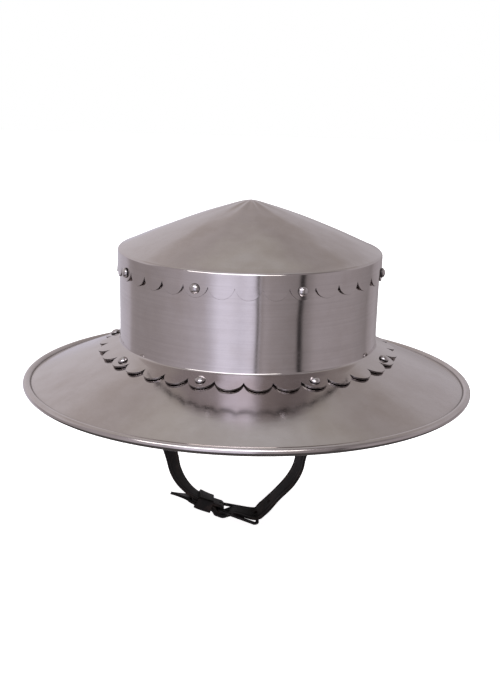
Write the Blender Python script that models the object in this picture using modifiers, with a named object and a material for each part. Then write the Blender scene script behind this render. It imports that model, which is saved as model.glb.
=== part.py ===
"""A riveted kettle hat: cone cap, drum, broad brim and a buckled leather chin strap.

The hat's axis is +Z and its front looks along -Y. The origin is where the crown of a padded head
comes to: on the axis, level with the crease between the cone and its skirt. Azimuths are in
degrees round the axis, 0 at the front and growing towards +X.
"""
import math
from collections import namedtuple

import bmesh
import bpy
from mathutils import Matrix, Vector

# Sheet metal
SHEET = 0.0016
LAP_GAP = 0.0004

# Drum
DRUM_RADIUS = 0.1160
DRUM_TOP_DROP = 0.0055
DRUM_FOOT_DROP = 0.0808
FOOT_FILLET = 0.0040

# Cone cap, whose skirt laps over the drum
CONE_HEIGHT = 0.0450
CONE_BULGE = 0.0026
CREASE_ROUND = 0.0030
APEX_RADIUS = 0.0060
APEX_BLUNT = 0.0008
SKIRT_TO_CUSP = 0.0119
CAP_SCALLOP_DEPTH = 0.0097
CAP_RIVET_DROP = 0.0142

# Brim, which the drum's scalloped flange laps over
BRIM_SLOPE = math.radians(22.5)
FLANGE_TO_CUSP = 0.0082
FLANGE_SCALLOP_DEPTH = 0.0102
FLANGE_RIVET_REACH = 0.0090
BRIM_HOLE_CLEARANCE = 0.0030
BRIM_REACH = 0.0870
BEAD_RADIUS = 0.0035
BEAD_RISE = 0.0010

# Scalloped edges
SCALLOP_HALF_ANGLE = math.radians(74)
SCALLOP_STEPS = 6
Fixing = namedtuple("Fixing", "azimuth scallops_to_next")
CAP_FIXINGS = (
    Fixing(-64.0, 4),
    Fixing(-22.5, 4),
    Fixing(21.0, 5),
    Fixing(78.0, 4),
    Fixing(121.6, 4),
    Fixing(165.2, 4),
    Fixing(208.8, 4),
    Fixing(252.4, 4),
)
FLANGE_FIXINGS = (
    Fixing(-103.0, 4),
    Fixing(-58.0, 4),
    Fixing(-18.0, 4),
    Fixing(25.5, 4),
    Fixing(70.5, 4),
    Fixing(117.0, 4),
    Fixing(163.5, 4),
    Fixing(210.0, 4),
)

# Rivets
RIVET_HEAD_RADIUS = 0.0044
RIVET_HEAD_HEIGHT = 0.0032
RIVET_SHANK_RADIUS = 0.0016
RIVET_TAIL_RADIUS = 0.0027
RIVET_TAIL_HEIGHT = 0.0011
RIVET_SIDES = 10
SEAT_GAP = 0.0003
HOLE_CLEARANCE = 0.00035
HOLE_SIDES = 12

# Chin strap
STRAP_AZIMUTH = 100.0
STRAP_RIVET_DROP = 0.0660
STRAP_DROP = 0.2040
STRAP_WIDTH = 0.0180
STRAP_WALL_GAP = 0.0006
STRAP_THICKNESS = 0.0025
STRAP_HOLE_RADIUS = 0.0018
STRAP_HOLE_PITCH = 0.0180
FOLD_LENGTH = 0.0275

# The free tail, with its reach measured along the strap from the buckle's bar
TAIL_REACH = 0.0430
TAIL_TIP_SHARE = 0.32
TAIL_DROOP = 0.0091
TAIL_CURVE = 1.3
TAIL_TURN = math.radians(-42)
TAIL_TURN_CURVE = 0.7

# The strap's route from the left rivet to the right one, as shares of its half span and its drop
Station = namedtuple("Station", "across drop twist")
STRAP_ROUTE = (
    Station(-1.00, -0.06, 10.0),
    Station(-0.995, 0.06, 10.0),
    Station(-0.94, 0.20, 12.0),
    Station(-0.80, 0.43, 17.0),
    Station(-0.645, 0.655, 30.0),
    Station(-0.595, 0.755, 25.0),
    Station(-0.520, 0.825, 13.0),
    Station(-0.400, 0.880, 1.0),
    Station(-0.200, 0.920, -4.0),
    Station(0.080, 0.966, 12.0),
    Station(0.170, 0.938, 22.0),
    Station(0.290, 0.865, 15.0),
    Station(0.400, 0.795, 20.0),
    Station(0.465, 0.725, 22.0),
    Station(0.500, 0.640, 22.0),
    Station(0.640, 0.430, 18.0),
    Station(0.880, 0.200, 12.0),
    Station(0.995, 0.06, 10.0),
    Station(1.00, -0.06, 10.0),
)
BUCKLE_ACROSS = -0.205

# Buckle and keeper
BUCKLE_LENGTH = 0.0360
BUCKLE_WIRE_RADIUS = 0.0016
BUCKLE_SIDE_CLEARANCE = 0.0006
BUCKLE_CORNER = 0.0020
TONGUE_RADIUS = 0.0011
TONGUE_OVERHANG = 0.0020
TONGUE_SLOT_CLEARANCE = 0.0004
KEEPER_LENGTH = 0.0150
KEEPER_THICKNESS = 0.0018
KEEPER_CLEARANCE = 0.0006
KEEPER_SETBACK = 0.0154
KEEPER_CORNER = 0.0015

# Facets
STRAP_SEGMENTS = 24
BRIM_STEPS = 84
BEAD_STEPS = 8
TUBE_RESOLUTION = 2
MERGE = 0.00001

# Worked-out sizes
SKIRT_RADIUS = DRUM_RADIUS + LAP_GAP + SHEET
DRUM_BORE = DRUM_RADIUS - SHEET
HALF_STRAP = STRAP_THICKNESS / 2
LAYER = STRAP_THICKNESS + SEAT_GAP
BAR_DEPTH = HALF_STRAP + SEAT_GAP + BUCKLE_WIRE_RADIUS
FOLD_DEPTH = 2 * BAR_DEPTH
STRAP_BACK = math.sqrt(DRUM_BORE ** 2 - (STRAP_WIDTH / 2) ** 2) - STRAP_WALL_GAP

Finish = namedtuple("Finish", "colour roughness metallic")
STEEL = Finish((0.42, 0.39, 0.39, 1.0), 0.22, 1.0)
RIVET_STEEL = Finish((0.50, 0.47, 0.48, 1.0), 0.20, 1.0)
BLACK_LEATHER = Finish((0.012, 0.010, 0.010, 1.0), 0.55, 0.0)
BLACK_METAL = Finish((0.030, 0.028, 0.028, 1.0), 0.40, 1.0)


# Scene helpers
def clear_scene():
    """Remove every object, so that the script can be run again."""
    for obj in list(bpy.data.objects):
        bpy.data.objects.remove(obj, do_unlink=True)


def make_collection(name):
    """Return a new collection linked to the scene."""
    collection = bpy.data.collections.new(name)
    bpy.context.scene.collection.children.link(collection)
    return collection


def make_material(name, finish):
    """Return a Principled BSDF material with the finish's colour, roughness and metallic value."""
    material = bpy.data.materials.new(name)
    material.use_nodes = True
    shader = material.node_tree.nodes["Principled BSDF"]
    shader.inputs["Base Color"].default_value = finish.colour
    shader.inputs["Roughness"].default_value = finish.roughness
    shader.inputs["Metallic"].default_value = finish.metallic
    return material


def add_piece(name, bm, collection, finish):
    """Turn a bmesh into a named, smooth shaded object with its own material."""
    mesh = bpy.data.meshes.new(name)
    bm.to_mesh(mesh)
    bm.free()
    mesh.shade_smooth()
    mesh.set_sharp_from_angle(angle=math.radians(35))
    mesh.materials.append(make_material(name + "_finish", finish))
    piece = bpy.data.objects.new(name, mesh)
    collection.objects.link(piece)
    return piece


def add_wall(piece, thickness, offset):
    """Give an open surface its wall: offset -1 grows it against the normals, 0 both ways."""
    wall = piece.modifiers.new("wall", "SOLIDIFY")
    wall.thickness = thickness
    wall.offset = offset
    wall.use_even_offset = True


def add_cut(piece, cutter):
    """Subtract a cutter from a piece."""
    cut = piece.modifiers.new("cut_" + cutter.name, "BOOLEAN")
    cut.operation = "DIFFERENCE"
    cut.solver = "EXACT"
    cut.object = cutter


def add_cutter(name, bm, collection):
    """Turn a bmesh into a hidden cutter object."""
    mesh = bpy.data.meshes.new(name)
    bm.to_mesh(mesh)
    bm.free()
    cutter = bpy.data.objects.new(name, mesh)
    cutter.hide_render = True
    cutter.display_type = "WIRE"
    collection.objects.link(cutter)
    return cutter


# Turned sheet with a scalloped edge
def polar(radius, azimuth, height):
    """Return the point at a radius, an azimuth in degrees and a height."""
    angle = math.radians(azimuth)
    return Vector((radius * math.sin(angle), -radius * math.cos(angle), height))


class ScallopRow:
    """Azimuths along a scalloped edge, marked out by hand, with a fixing in every few scallops."""

    def __init__(self, fixings):
        self.fixings = fixings
        self.count = sum(fixing.scallops_to_next for fixing in fixings)

    def azimuth(self, position):
        """Return the azimuth at a position counted in scallops' middles from the first fixing."""
        start = 0
        for index, fixing in enumerate(self.fixings):
            last = index == len(self.fixings) - 1
            following = self.fixings[0].azimuth + 360 if last else self.fixings[index + 1].azimuth
            if position <= start + fixing.scallops_to_next or last:
                share = (position - start) / fixing.scallops_to_next
                return fixing.azimuth + share * (following - fixing.azimuth)
            start += fixing.scallops_to_next

    def edge(self):
        """Return each edge vertex as its azimuth and its share of the scallop's depth."""
        points = []
        for scallop in range(self.count):
            for step in range(SCALLOP_STEPS):
                angle = SCALLOP_HALF_ANGLE * (2 * step / SCALLOP_STEPS - 1)
                side = math.sin(angle) / math.sin(SCALLOP_HALF_ANGLE) / 2
                floor = math.cos(SCALLOP_HALF_ANGLE)
                depth = (math.cos(angle) - floor) / (1 - floor)
                points.append((self.azimuth((scallop + side) % self.count), depth))
        return points

    def columns(self):
        """Return the azimuths of the cusps and tips, two to a scallop."""
        return [azimuth for azimuth, depth in self.edge()[::SCALLOP_STEPS // 2]]


def ring(bm, points):
    """Add a closed ring of vertices to a bmesh and return its edges."""
    made = bmesh.ops.create_circle(bm, segments=len(points), radius=1.0)
    for vertex, point in zip(made["verts"], points):
        vertex.co = point
    return list({edge for vertex in made["verts"] for edge in vertex.link_edges})


def turned_sheet(bm, profile, row, edge_point, apex_height=None):
    """Bridge rings down a profile and on to a scalloped edge, and close the top with an apex."""
    columns = row.columns()
    loops = []
    for radius, height in profile:
        loops.append(ring(bm, [polar(radius, azimuth, height) for azimuth in columns]))
    loops.append(ring(bm, [edge_point(azimuth, depth) for azimuth, depth in row.edge()]))
    for upper, lower in zip(loops, loops[1:]):
        bmesh.ops.bridge_loops(bm, edges=upper + lower)
    if apex_height is not None:
        crown = bmesh.ops.contextual_create(bm, geom=loops[0])["faces"]
        peak = bmesh.ops.poke(bm, faces=crown)["verts"][0]
        peak.co = (0.0, 0.0, apex_height)
    face_outwards(bm)


def face_outwards(bm):
    """Turn a round sheet's faces away from its axis."""
    bmesh.ops.recalc_face_normals(bm, faces=bm.faces)
    outward = sum(face.normal.xy.dot(face.calc_center_median().xy) for face in bm.faces)
    if outward < 0:
        bmesh.ops.reverse_faces(bm, faces=bm.faces)


def cone_height_at(radius):
    """Return the height of the cone's outer face, which bulges a little between apex and crease."""
    share = radius / SKIRT_RADIUS
    return CONE_HEIGHT * (1 - share) + 4 * CONE_BULGE * share * (1 - share)


def cap_profile():
    """Return the cap's outer profile: blunt apex, bulged cone, rounded crease and skirt."""
    profile = [(APEX_RADIUS, cone_height_at(APEX_RADIUS))]
    for share in (0.33, 0.67):
        profile.append((SKIRT_RADIUS * share, cone_height_at(SKIRT_RADIUS * share)))
    start = SKIRT_RADIUS - CREASE_ROUND
    lean = math.atan2(CONE_HEIGHT - 4 * CONE_BULGE, SKIRT_RADIUS)
    for share in (0.0, 0.5, 1.0):
        angle = (math.pi / 2 - lean) * (1 - share)
        radius = start + CREASE_ROUND * math.cos(angle)
        profile.append((radius, cone_height_at(start) - CREASE_ROUND * (1 - math.sin(angle))))
    return profile


def cap_edge(azimuth, depth):
    """Return a point of the skirt's scalloped edge."""
    return polar(SKIRT_RADIUS, azimuth, -SKIRT_TO_CUSP - depth * CAP_SCALLOP_DEPTH)


def drum_profile():
    """Return the drum's outer profile: a straight wall and the fillet into its flange."""
    profile = [(DRUM_RADIUS, -DRUM_TOP_DROP)]
    for share in (0.0, 1 / 3, 2 / 3, 1.0):
        angle = (math.pi / 2 - BRIM_SLOPE) * share
        radius = DRUM_RADIUS + FOOT_FILLET * (1 - math.cos(angle))
        profile.append((radius, -DRUM_FOOT_DROP - FOOT_FILLET * math.sin(angle)))
    return profile


def flange_point(reach, azimuth, rise=0.0):
    """Return a point of the flange's upper face, by its reach down the slope from the fillet."""
    radius, height = drum_profile()[-1]
    radius += reach * math.cos(BRIM_SLOPE) + rise * math.sin(BRIM_SLOPE)
    height += -reach * math.sin(BRIM_SLOPE) + rise * math.cos(BRIM_SLOPE)
    return polar(radius, azimuth, height)


def flange_edge(azimuth, depth):
    """Return a point of the flange's scalloped edge."""
    return flange_point(FLANGE_TO_CUSP + depth * FLANGE_SCALLOP_DEPTH, azimuth)


def build_cap(collection):
    """Build the cone cap with its scalloped skirt."""
    bm = bmesh.new()
    turned_sheet(bm, cap_profile(), ScallopRow(CAP_FIXINGS), cap_edge,
                 CONE_HEIGHT - APEX_BLUNT)
    cap = add_piece("cone_cap", bm, collection, STEEL)
    add_wall(cap, SHEET, -1)
    return cap


def build_drum(collection):
    """Build the drum with its scalloped flange."""
    bm = bmesh.new()
    turned_sheet(bm, drum_profile(), ScallopRow(FLANGE_FIXINGS), flange_edge)
    drum = add_piece("drum_band", bm, collection, STEEL)
    add_wall(drum, SHEET, -1)
    return drum


def brim_profile():
    """Return the brim's closed section: sheet on a slope, ending in a rolled bead."""
    foot_radius, foot_height = drum_profile()[-1]
    drop = SHEET + LAP_GAP
    out = Vector((math.cos(BRIM_SLOPE), -math.sin(BRIM_SLOPE)))
    up = Vector((math.sin(BRIM_SLOPE), math.cos(BRIM_SLOPE)))
    top = Vector((foot_radius, foot_height)) - up * drop
    top += out * ((DRUM_RADIUS + BRIM_HOLE_CLEARANCE - top.x) / out.x)
    middle = top + out * BRIM_REACH + up * (BEAD_RISE - SHEET / 2)
    start = math.pi - math.asin((SHEET / 2 - BEAD_RISE) / BEAD_RADIUS)
    finish = -math.pi + math.asin((SHEET / 2 + BEAD_RISE) / BEAD_RADIUS)
    section = [top]
    for step in range(BEAD_STEPS + 1):
        angle = start + (finish - start) * step / BEAD_STEPS
        section.append(middle + (out * math.cos(angle) + up * math.sin(angle)) * BEAD_RADIUS)
    section.append(top - up * SHEET)
    return section


def build_brim(collection):
    """Build the brim as a turned section."""
    bm = bmesh.new()
    corners = [bm.verts.new((point.x, 0.0, point.y)) for point in brim_profile()]
    for corner, following in zip(corners, corners[1:] + corners[:1]):
        bm.edges.new((corner, following))
    brim = add_piece("brim", bm, collection, STEEL)
    turn_profile(brim, BRIM_STEPS)
    return brim


def turn_profile(piece, steps):
    """Turn a profile in the XZ plane round Z."""
    screw = piece.modifiers.new("turn", "SCREW")
    screw.axis = "Z"
    screw.steps = steps
    screw.render_steps = steps
    screw.use_merge_vertices = True
    screw.merge_threshold = MERGE
    screw.use_smooth_shade = True


# Rivets
def rivet_profile(grip):
    """Return a rivet's profile: domed head above z = 0, shank through the grip, and peened tail."""
    profile = []
    for angle in (90, 50, 0):
        turn = math.radians(angle)
        radius = RIVET_HEAD_RADIUS * math.cos(turn)
        profile.append((radius, SEAT_GAP + RIVET_HEAD_HEIGHT * math.sin(turn)))
    foot = -grip - SEAT_GAP
    profile.append((RIVET_SHANK_RADIUS, SEAT_GAP))
    profile.append((RIVET_SHANK_RADIUS, foot))
    profile.append((RIVET_TAIL_RADIUS, foot))
    profile.append((RIVET_TAIL_RADIUS * 0.7, foot - RIVET_TAIL_HEIGHT))
    profile.append((0.0, foot - RIVET_TAIL_HEIGHT))
    return profile


def rivet_mesh(name, grip):
    """Return the mesh of a rivet's profile, ready to be turned."""
    bm = bmesh.new()
    corners = [bm.verts.new((radius, 0.0, height)) for radius, height in rivet_profile(grip)]
    for corner, following in zip(corners, corners[1:]):
        bm.edges.new((corner, following))
    mesh = bpy.data.meshes.new(name)
    bm.to_mesh(mesh)
    bm.free()
    return mesh


def seat_matrix(seat, axis):
    """Return the placement of a rivet with its head's seat at a point and its head along an axis."""
    return Matrix.Translation(seat) @ axis.to_track_quat("Z", "Y").to_matrix().to_4x4()


def cap_seats():
    """Return the seats of the cap's rivets on the skirt."""
    seats = []
    for fixing in CAP_FIXINGS:
        seat = polar(SKIRT_RADIUS, fixing.azimuth, -CAP_RIVET_DROP)
        seats.append(seat_matrix(seat, polar(1.0, fixing.azimuth, 0.0)))
    return seats


def flange_seats():
    """Return the seats of the brim's rivets on the flange."""
    seats = []
    for fixing in FLANGE_FIXINGS:
        seat = flange_point(FLANGE_RIVET_REACH, fixing.azimuth)
        axis = flange_point(FLANGE_RIVET_REACH, fixing.azimuth, rise=1.0) - seat
        seats.append(seat_matrix(seat, axis))
    return seats


def strap_seats():
    """Return the seats of the chin strap's rivets on the drum, left and right."""
    seats = []
    for azimuth in (-STRAP_AZIMUTH, STRAP_AZIMUTH):
        seat = polar(DRUM_RADIUS, azimuth, -STRAP_RIVET_DROP)
        seats.append(seat_matrix(seat, polar(1.0, azimuth, 0.0)))
    return seats


def build_rivets(names, seats, grip, collection):
    """Build one rivet on each seat; the rivets of a row share a mesh."""
    mesh = rivet_mesh(names[0], grip)
    mesh.materials.append(make_material(names[0] + "_finish", RIVET_STEEL))
    for name, seat in zip(names, seats):
        rivet = bpy.data.objects.new(name, mesh)
        rivet.matrix_world = seat
        collection.objects.link(rivet)
        turn_profile(rivet, RIVET_SIDES)


def build_rivet_holes(name, seats, grip, collection):
    """Build the cutter of a row of rivet holes."""
    bm = bmesh.new()
    radius = RIVET_SHANK_RADIUS + HOLE_CLEARANCE
    for seat in seats:
        centre = seat @ Matrix.Translation((0.0, 0.0, -grip / 2))
        bmesh.ops.create_cone(bm, cap_ends=True, segments=HOLE_SIDES, radius1=radius,
                              radius2=radius, depth=2 * grip, matrix=centre)
    return add_cutter(name, bm, collection)


# Chin strap
class StrapRoute:
    """The strap's middle line in its own upright plane, with its twist along the way."""

    def __init__(self, stations, samples=12):
        anchor = polar(STRAP_BACK - HALF_STRAP, STRAP_AZIMUTH, -STRAP_RIVET_DROP)
        self.half_span = anchor.x
        self.depth = anchor.y
        self.points = []
        self.twists = []
        for index in range(len(stations) - 1):
            for step in range(samples):
                self.add_sample(stations, index, step / samples)
        self.add_sample(stations, len(stations) - 2, 1.0)
        self.lengths = [0.0]
        for point, following in zip(self.points, self.points[1:]):
            self.lengths.append(self.lengths[-1] + (following - point).length)

    def add_sample(self, stations, index, share):
        """Add a point of the smooth curve through the stations."""
        rows = [stations[max(0, min(len(stations) - 1, index + shift))] for shift in (-1, 0, 1, 2)]
        across, drop, twist = (
            smooth_between(values, share) for values in zip(*rows))
        height = -STRAP_RIVET_DROP - drop * STRAP_DROP
        self.points.append(Vector((across * self.half_span, height)))
        self.twists.append(math.radians(twist))

    @property
    def length(self):
        """Return the whole length of the route."""
        return self.lengths[-1]

    def locate(self, distance):
        """Return the sample before a distance along the route, and the share of the way on."""
        index = 0
        while index < len(self.points) - 2 and self.lengths[index + 1] < distance:
            index += 1
        span = self.lengths[index + 1] - self.lengths[index]
        return index, (distance - self.lengths[index]) / span

    def distance_at(self, across):
        """Return the distance along the route at a share of the half span, near the middle."""
        middle = [index for index, point in enumerate(self.points)
                  if point.x >= across * self.half_span]
        return self.lengths[middle[0]]

    def heading(self, distance):
        """Return the route's smoothed direction at a distance."""
        step = 0.002
        before = self.middle(distance - step)
        after = self.middle(distance + step)
        return (after - before).normalized()

    def middle(self, distance):
        """Return the middle line's point in the strap's plane."""
        index, share = self.locate(distance)
        return self.points[index].lerp(self.points[index + 1], share)

    def point(self, distance, out, side, turn=0.0):
        """Return a point by its distance along, its offset outwards and its offset sideways."""
        middle = self.middle(distance)
        heading = self.heading(distance)
        index, share = self.locate(distance)
        twist = self.twists[index] + share * (self.twists[index + 1] - self.twists[index]) + turn
        outward = Vector((heading.y, 0.0, -heading.x))
        back = Vector((0.0, 1.0, 0.0))
        centre = Vector((middle.x, self.depth, middle.y))
        across = back * math.cos(twist) - outward * math.sin(twist)
        away = outward * math.cos(twist) + back * math.sin(twist)
        return centre + away * out + across * side


def smooth_between(values, share):
    """Return a Catmull-Rom value between the middle two of four values."""
    before, start, end, after = values
    pull = (end - before) / 2
    push = (after - start) / 2
    lift = 2 * share ** 3 - 3 * share ** 2 + 1
    rise = share ** 3 - 2 * share ** 2 + share
    fall = share ** 3 - share ** 2
    return lift * start + rise * pull + (1 - lift) * end + fall * push


Bend = namedtuple("Bend", "along out width turn", defaults=(1.0, 0.0))


def strip(bm, route, bends):
    """Lay a strip of the strap's width along the bends."""
    made = bmesh.ops.create_grid(bm, x_segments=len(bends) - 1, y_segments=1, size=1.0)["verts"]
    edges = ((-1, made[:len(bends)]), (1, made[len(bends):]))
    for side, vertices in edges:
        for vertex, bend in zip(vertices, bends):
            reach = side * bend.width * STRAP_WIDTH / 2
            vertex.co = route.point(bend.along, bend.out, reach, bend.turn)


def spaced(start, end, count):
    """Return evenly spaced distances from start to end, both included."""
    return [start + (end - start) * index / count for index in range(count + 1)]


def buckle_side_bends(bar):
    """Return the bends of the strap's left part: down to the bar, round it and back."""
    bends = [Bend(along, 0.0) for along in spaced(0.0, bar, STRAP_SEGMENTS)]
    for angle in range(30, 181, 30):
        turn = math.radians(angle)
        bends.append(Bend(bar + BAR_DEPTH * math.sin(turn), BAR_DEPTH * (1 - math.cos(turn))))
    bends.append(Bend(bar - FOLD_LENGTH * 0.09, FOLD_DEPTH * 0.90))
    bends.append(Bend(bar - FOLD_LENGTH * 0.26, LAYER))
    bends.append(Bend(bar - FOLD_LENGTH * 0.75, LAYER))
    bends.append(Bend(bar - FOLD_LENGTH, LAYER))
    return bends


def tail_side_bends(bar, end):
    """Return the bends of the strap's right part: to the buckle, through it and on to the tip."""
    over_fold = FOLD_DEPTH + LAYER
    bends = [Bend(along, 0.0) for along in spaced(end, bar + BUCKLE_LENGTH, STRAP_SEGMENTS)]
    bends.append(Bend(bar + BUCKLE_LENGTH * 0.68, over_fold * 0.02))
    bends.append(Bend(bar + BUCKLE_LENGTH * 0.44, over_fold * 0.14))
    bends.append(Bend(bar + BUCKLE_LENGTH * 0.27, over_fold * 0.62))
    bends.append(Bend(bar + BUCKLE_LENGTH * 0.15, over_fold * 0.97))
    bends.append(Bend(bar, over_fold))
    bends.append(Bend(bar - FOLD_LENGTH * 0.10, over_fold * 0.96))
    bends.append(Bend(bar - FOLD_LENGTH * 0.28, 2 * LAYER))
    bends.append(Bend(bar - FOLD_LENGTH * 0.75, 2 * LAYER))
    bends.append(Bend(bar - FOLD_LENGTH, 2 * LAYER))
    tip = 1 - TAIL_TIP_SHARE
    for share, width in ((tip / 3, 1.0), (tip * 2 / 3, 1.0), (tip, 1.0), ((tip + 1) / 2, 0.78), (1.0, 0.30)):
        along = FOLD_LENGTH + (TAIL_REACH - FOLD_LENGTH) * share
        droop = 2 * LAYER + TAIL_DROOP * share ** TAIL_CURVE
        bends.append(Bend(bar - along, droop, width, TAIL_TURN * share ** TAIL_TURN_CURVE))
    return bends


def tongue_points(route, bar):
    """Return the tongue's middle line: round the bar, then through the strap to the frame's end."""
    ring_radius = BUCKLE_WIRE_RADIUS + SEAT_GAP + TONGUE_RADIUS
    points = []
    for angle in range(60, 301, 30):
        turn = math.radians(angle)
        along = bar + ring_radius * math.cos(turn)
        points.append(route.point(along, BAR_DEPTH - ring_radius * math.sin(turn), 0.0))
    rest = BAR_DEPTH + BUCKLE_WIRE_RADIUS + SEAT_GAP + TONGUE_RADIUS
    low = BAR_DEPTH + ring_radius * 0.35
    points.append(route.point(bar + BUCKLE_LENGTH * 0.19, low, 0.0))
    points.append(route.point(bar + BUCKLE_LENGTH * 0.34, low, 0.0))
    for share in (0.5, 0.75, 1.0):
        lift = low + (rest - low) * (share - 0.34) / 0.66
        points.append(route.point(bar + BUCKLE_LENGTH * share, lift, 0.0))
    points.append(route.point(bar + BUCKLE_LENGTH + TONGUE_OVERHANG, rest, 0.0))
    return points


def frame_points(route, bar):
    """Return the buckle frame's middle line: a rectangle with rounded corners."""
    half = STRAP_WIDTH / 2 + BUCKLE_SIDE_CLEARANCE + BUCKLE_WIRE_RADIUS
    corners = (
        (BUCKLE_CORNER, half - BUCKLE_CORNER, 180, 90),
        (BUCKLE_LENGTH - BUCKLE_CORNER, half - BUCKLE_CORNER, 90, 0),
        (BUCKLE_LENGTH - BUCKLE_CORNER, BUCKLE_CORNER - half, 0, -90),
        (BUCKLE_CORNER, BUCKLE_CORNER - half, -90, -180),
    )
    points = []
    for along, side, start, finish in corners:
        for share in (0.0, 1 / 3, 2 / 3, 1.0):
            turn = math.radians(start + (finish - start) * share)
            points.append(route.point(bar + along + BUCKLE_CORNER * math.cos(turn), BAR_DEPTH,
                                      side + BUCKLE_CORNER * math.sin(turn)))
    return points


def tube(name, points, radius, cyclic, collection):
    """Return a round wire through the points, as a mesh object with welded caps."""
    curve = bpy.data.curves.new(name, "CURVE")
    curve.dimensions = "3D"
    curve.bevel_depth = radius
    curve.bevel_resolution = TUBE_RESOLUTION
    curve.use_fill_caps = not cyclic
    spline = curve.splines.new("POLY")
    spline.points.add(len(points) - 1)
    for spot, point in zip(spline.points, points):
        spot.co = (*point, 1.0)
    spline.use_cyclic_u = cyclic
    guide = bpy.data.objects.new(name + "_curve", curve)
    collection.objects.link(guide)
    mesh = bpy.data.meshes.new_from_object(guide.evaluated_get(bpy.context.evaluated_depsgraph_get()))
    bpy.data.objects.remove(guide, do_unlink=True)
    bm = bmesh.new()
    bm.from_mesh(mesh)
    bpy.data.meshes.remove(mesh)
    bmesh.ops.remove_doubles(bm, verts=bm.verts, dist=MERGE)
    bmesh.ops.recalc_face_normals(bm, faces=bm.faces)
    return bm


def build_keeper(route, bar, collection):
    """Build the leather loop that holds the tail against the strap."""
    middle = bar - KEEPER_SETBACK
    gap = KEEPER_CLEARANCE + KEEPER_THICKNESS / 2
    inner = -HALF_STRAP - gap
    outer = 2 * LAYER + HALF_STRAP + gap
    side = STRAP_WIDTH / 2 + gap
    loop = []
    for out, edge, out_turn, side_turn in (
            (inner, -side, 1, 1), (inner, side, 1, -1), (outer, side, -1, -1), (outer, -side, -1, 1)):
        near = (out + out_turn * KEEPER_CORNER, edge)
        far = (out, edge + side_turn * KEEPER_CORNER)
        bent = (out + out_turn * KEEPER_CORNER * 0.3, edge + side_turn * KEEPER_CORNER * 0.3)
        loop.extend((near, bent, far) if out_turn == side_turn else (far, bent, near))
    bm = bmesh.new()
    rings = []
    for along in spaced(middle - KEEPER_LENGTH / 2, middle + KEEPER_LENGTH / 2, 3):
        rings.append(ring(bm, [route.point(along, out, edge) for out, edge in loop]))
    for near, far in zip(rings, rings[1:]):
        bmesh.ops.bridge_loops(bm, edges=near + far)
    bmesh.ops.recalc_face_normals(bm, faces=bm.faces)
    keeper = add_piece("strap_keeper", bm, collection, BLACK_LEATHER)
    add_wall(keeper, KEEPER_THICKNESS, 0)
    return keeper


def hole_matrix(route, along, out):
    """Return the placement of a hole bored through the strap."""
    centre = route.point(along, out, 0.0)
    axis = route.point(along, out + 1.0, 0.0) - centre
    return seat_matrix(centre, axis)


def build_strap(collection, cutters):
    """Build the chin strap's two parts, its keeper and its buckle, and return the two parts."""
    route = StrapRoute(STRAP_ROUTE)
    bar = route.distance_at(BUCKLE_ACROSS)

    bm = bmesh.new()
    strip(bm, route, buckle_side_bends(bar))
    left = add_piece("chin_strap_buckle_part", bm, collection, BLACK_LEATHER)
    add_wall(left, STRAP_THICKNESS, 0)

    bm = bmesh.new()
    strip(bm, route, tail_side_bends(bar, route.length))
    right = add_piece("chin_strap_tail_part", bm, collection, BLACK_LEATHER)
    add_wall(right, STRAP_THICKNESS, 0)

    frame = tube("buckle_frame", frame_points(route, bar), BUCKLE_WIRE_RADIUS, True, cutters)
    add_piece("buckle_frame", frame, collection, BLACK_METAL)
    tongue = tube("buckle_tongue", tongue_points(route, bar), TONGUE_RADIUS, False, cutters)
    add_piece("buckle_tongue", tongue, collection, BLACK_METAL)

    slot = bmesh.new()
    slot_radius = BAR_DEPTH + HALF_STRAP + SEAT_GAP
    centre = route.point(bar, BAR_DEPTH, 0.0)
    axis = route.point(bar, BAR_DEPTH, 1.0) - centre
    bmesh.ops.create_cone(slot, cap_ends=True, segments=HOLE_SIDES, radius1=slot_radius,
                          radius2=slot_radius, depth=2 * (TONGUE_RADIUS + TONGUE_SLOT_CLEARANCE),
                          matrix=seat_matrix(centre, axis))
    add_cut(left, add_cutter("tongue_slot_cutter", slot, cutters))

    path = tongue_points(route, bar)[-6:]
    passage = tube("tongue_hole", path, TONGUE_RADIUS + TONGUE_SLOT_CLEARANCE, False, cutters)
    add_cut(right, add_cutter("tongue_hole_cutter", passage, cutters))

    holes = bmesh.new()
    for count in (-2, -1, 1, 2):
        along = bar + BUCKLE_LENGTH * 0.5 + STRAP_HOLE_PITCH * count
        bends = sorted(tail_side_bends(bar, route.length), key=lambda bend: bend.along)
        out = next(bend.out for bend in bends if bend.along >= along)
        bmesh.ops.create_cone(holes, cap_ends=True, segments=8, radius1=STRAP_HOLE_RADIUS,
                              radius2=STRAP_HOLE_RADIUS, depth=3 * STRAP_THICKNESS,
                              matrix=hole_matrix(route, along, out))
    add_cut(right, add_cutter("strap_hole_cutter", holes, cutters))
    build_keeper(route, bar, collection)
    return left, right


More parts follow.
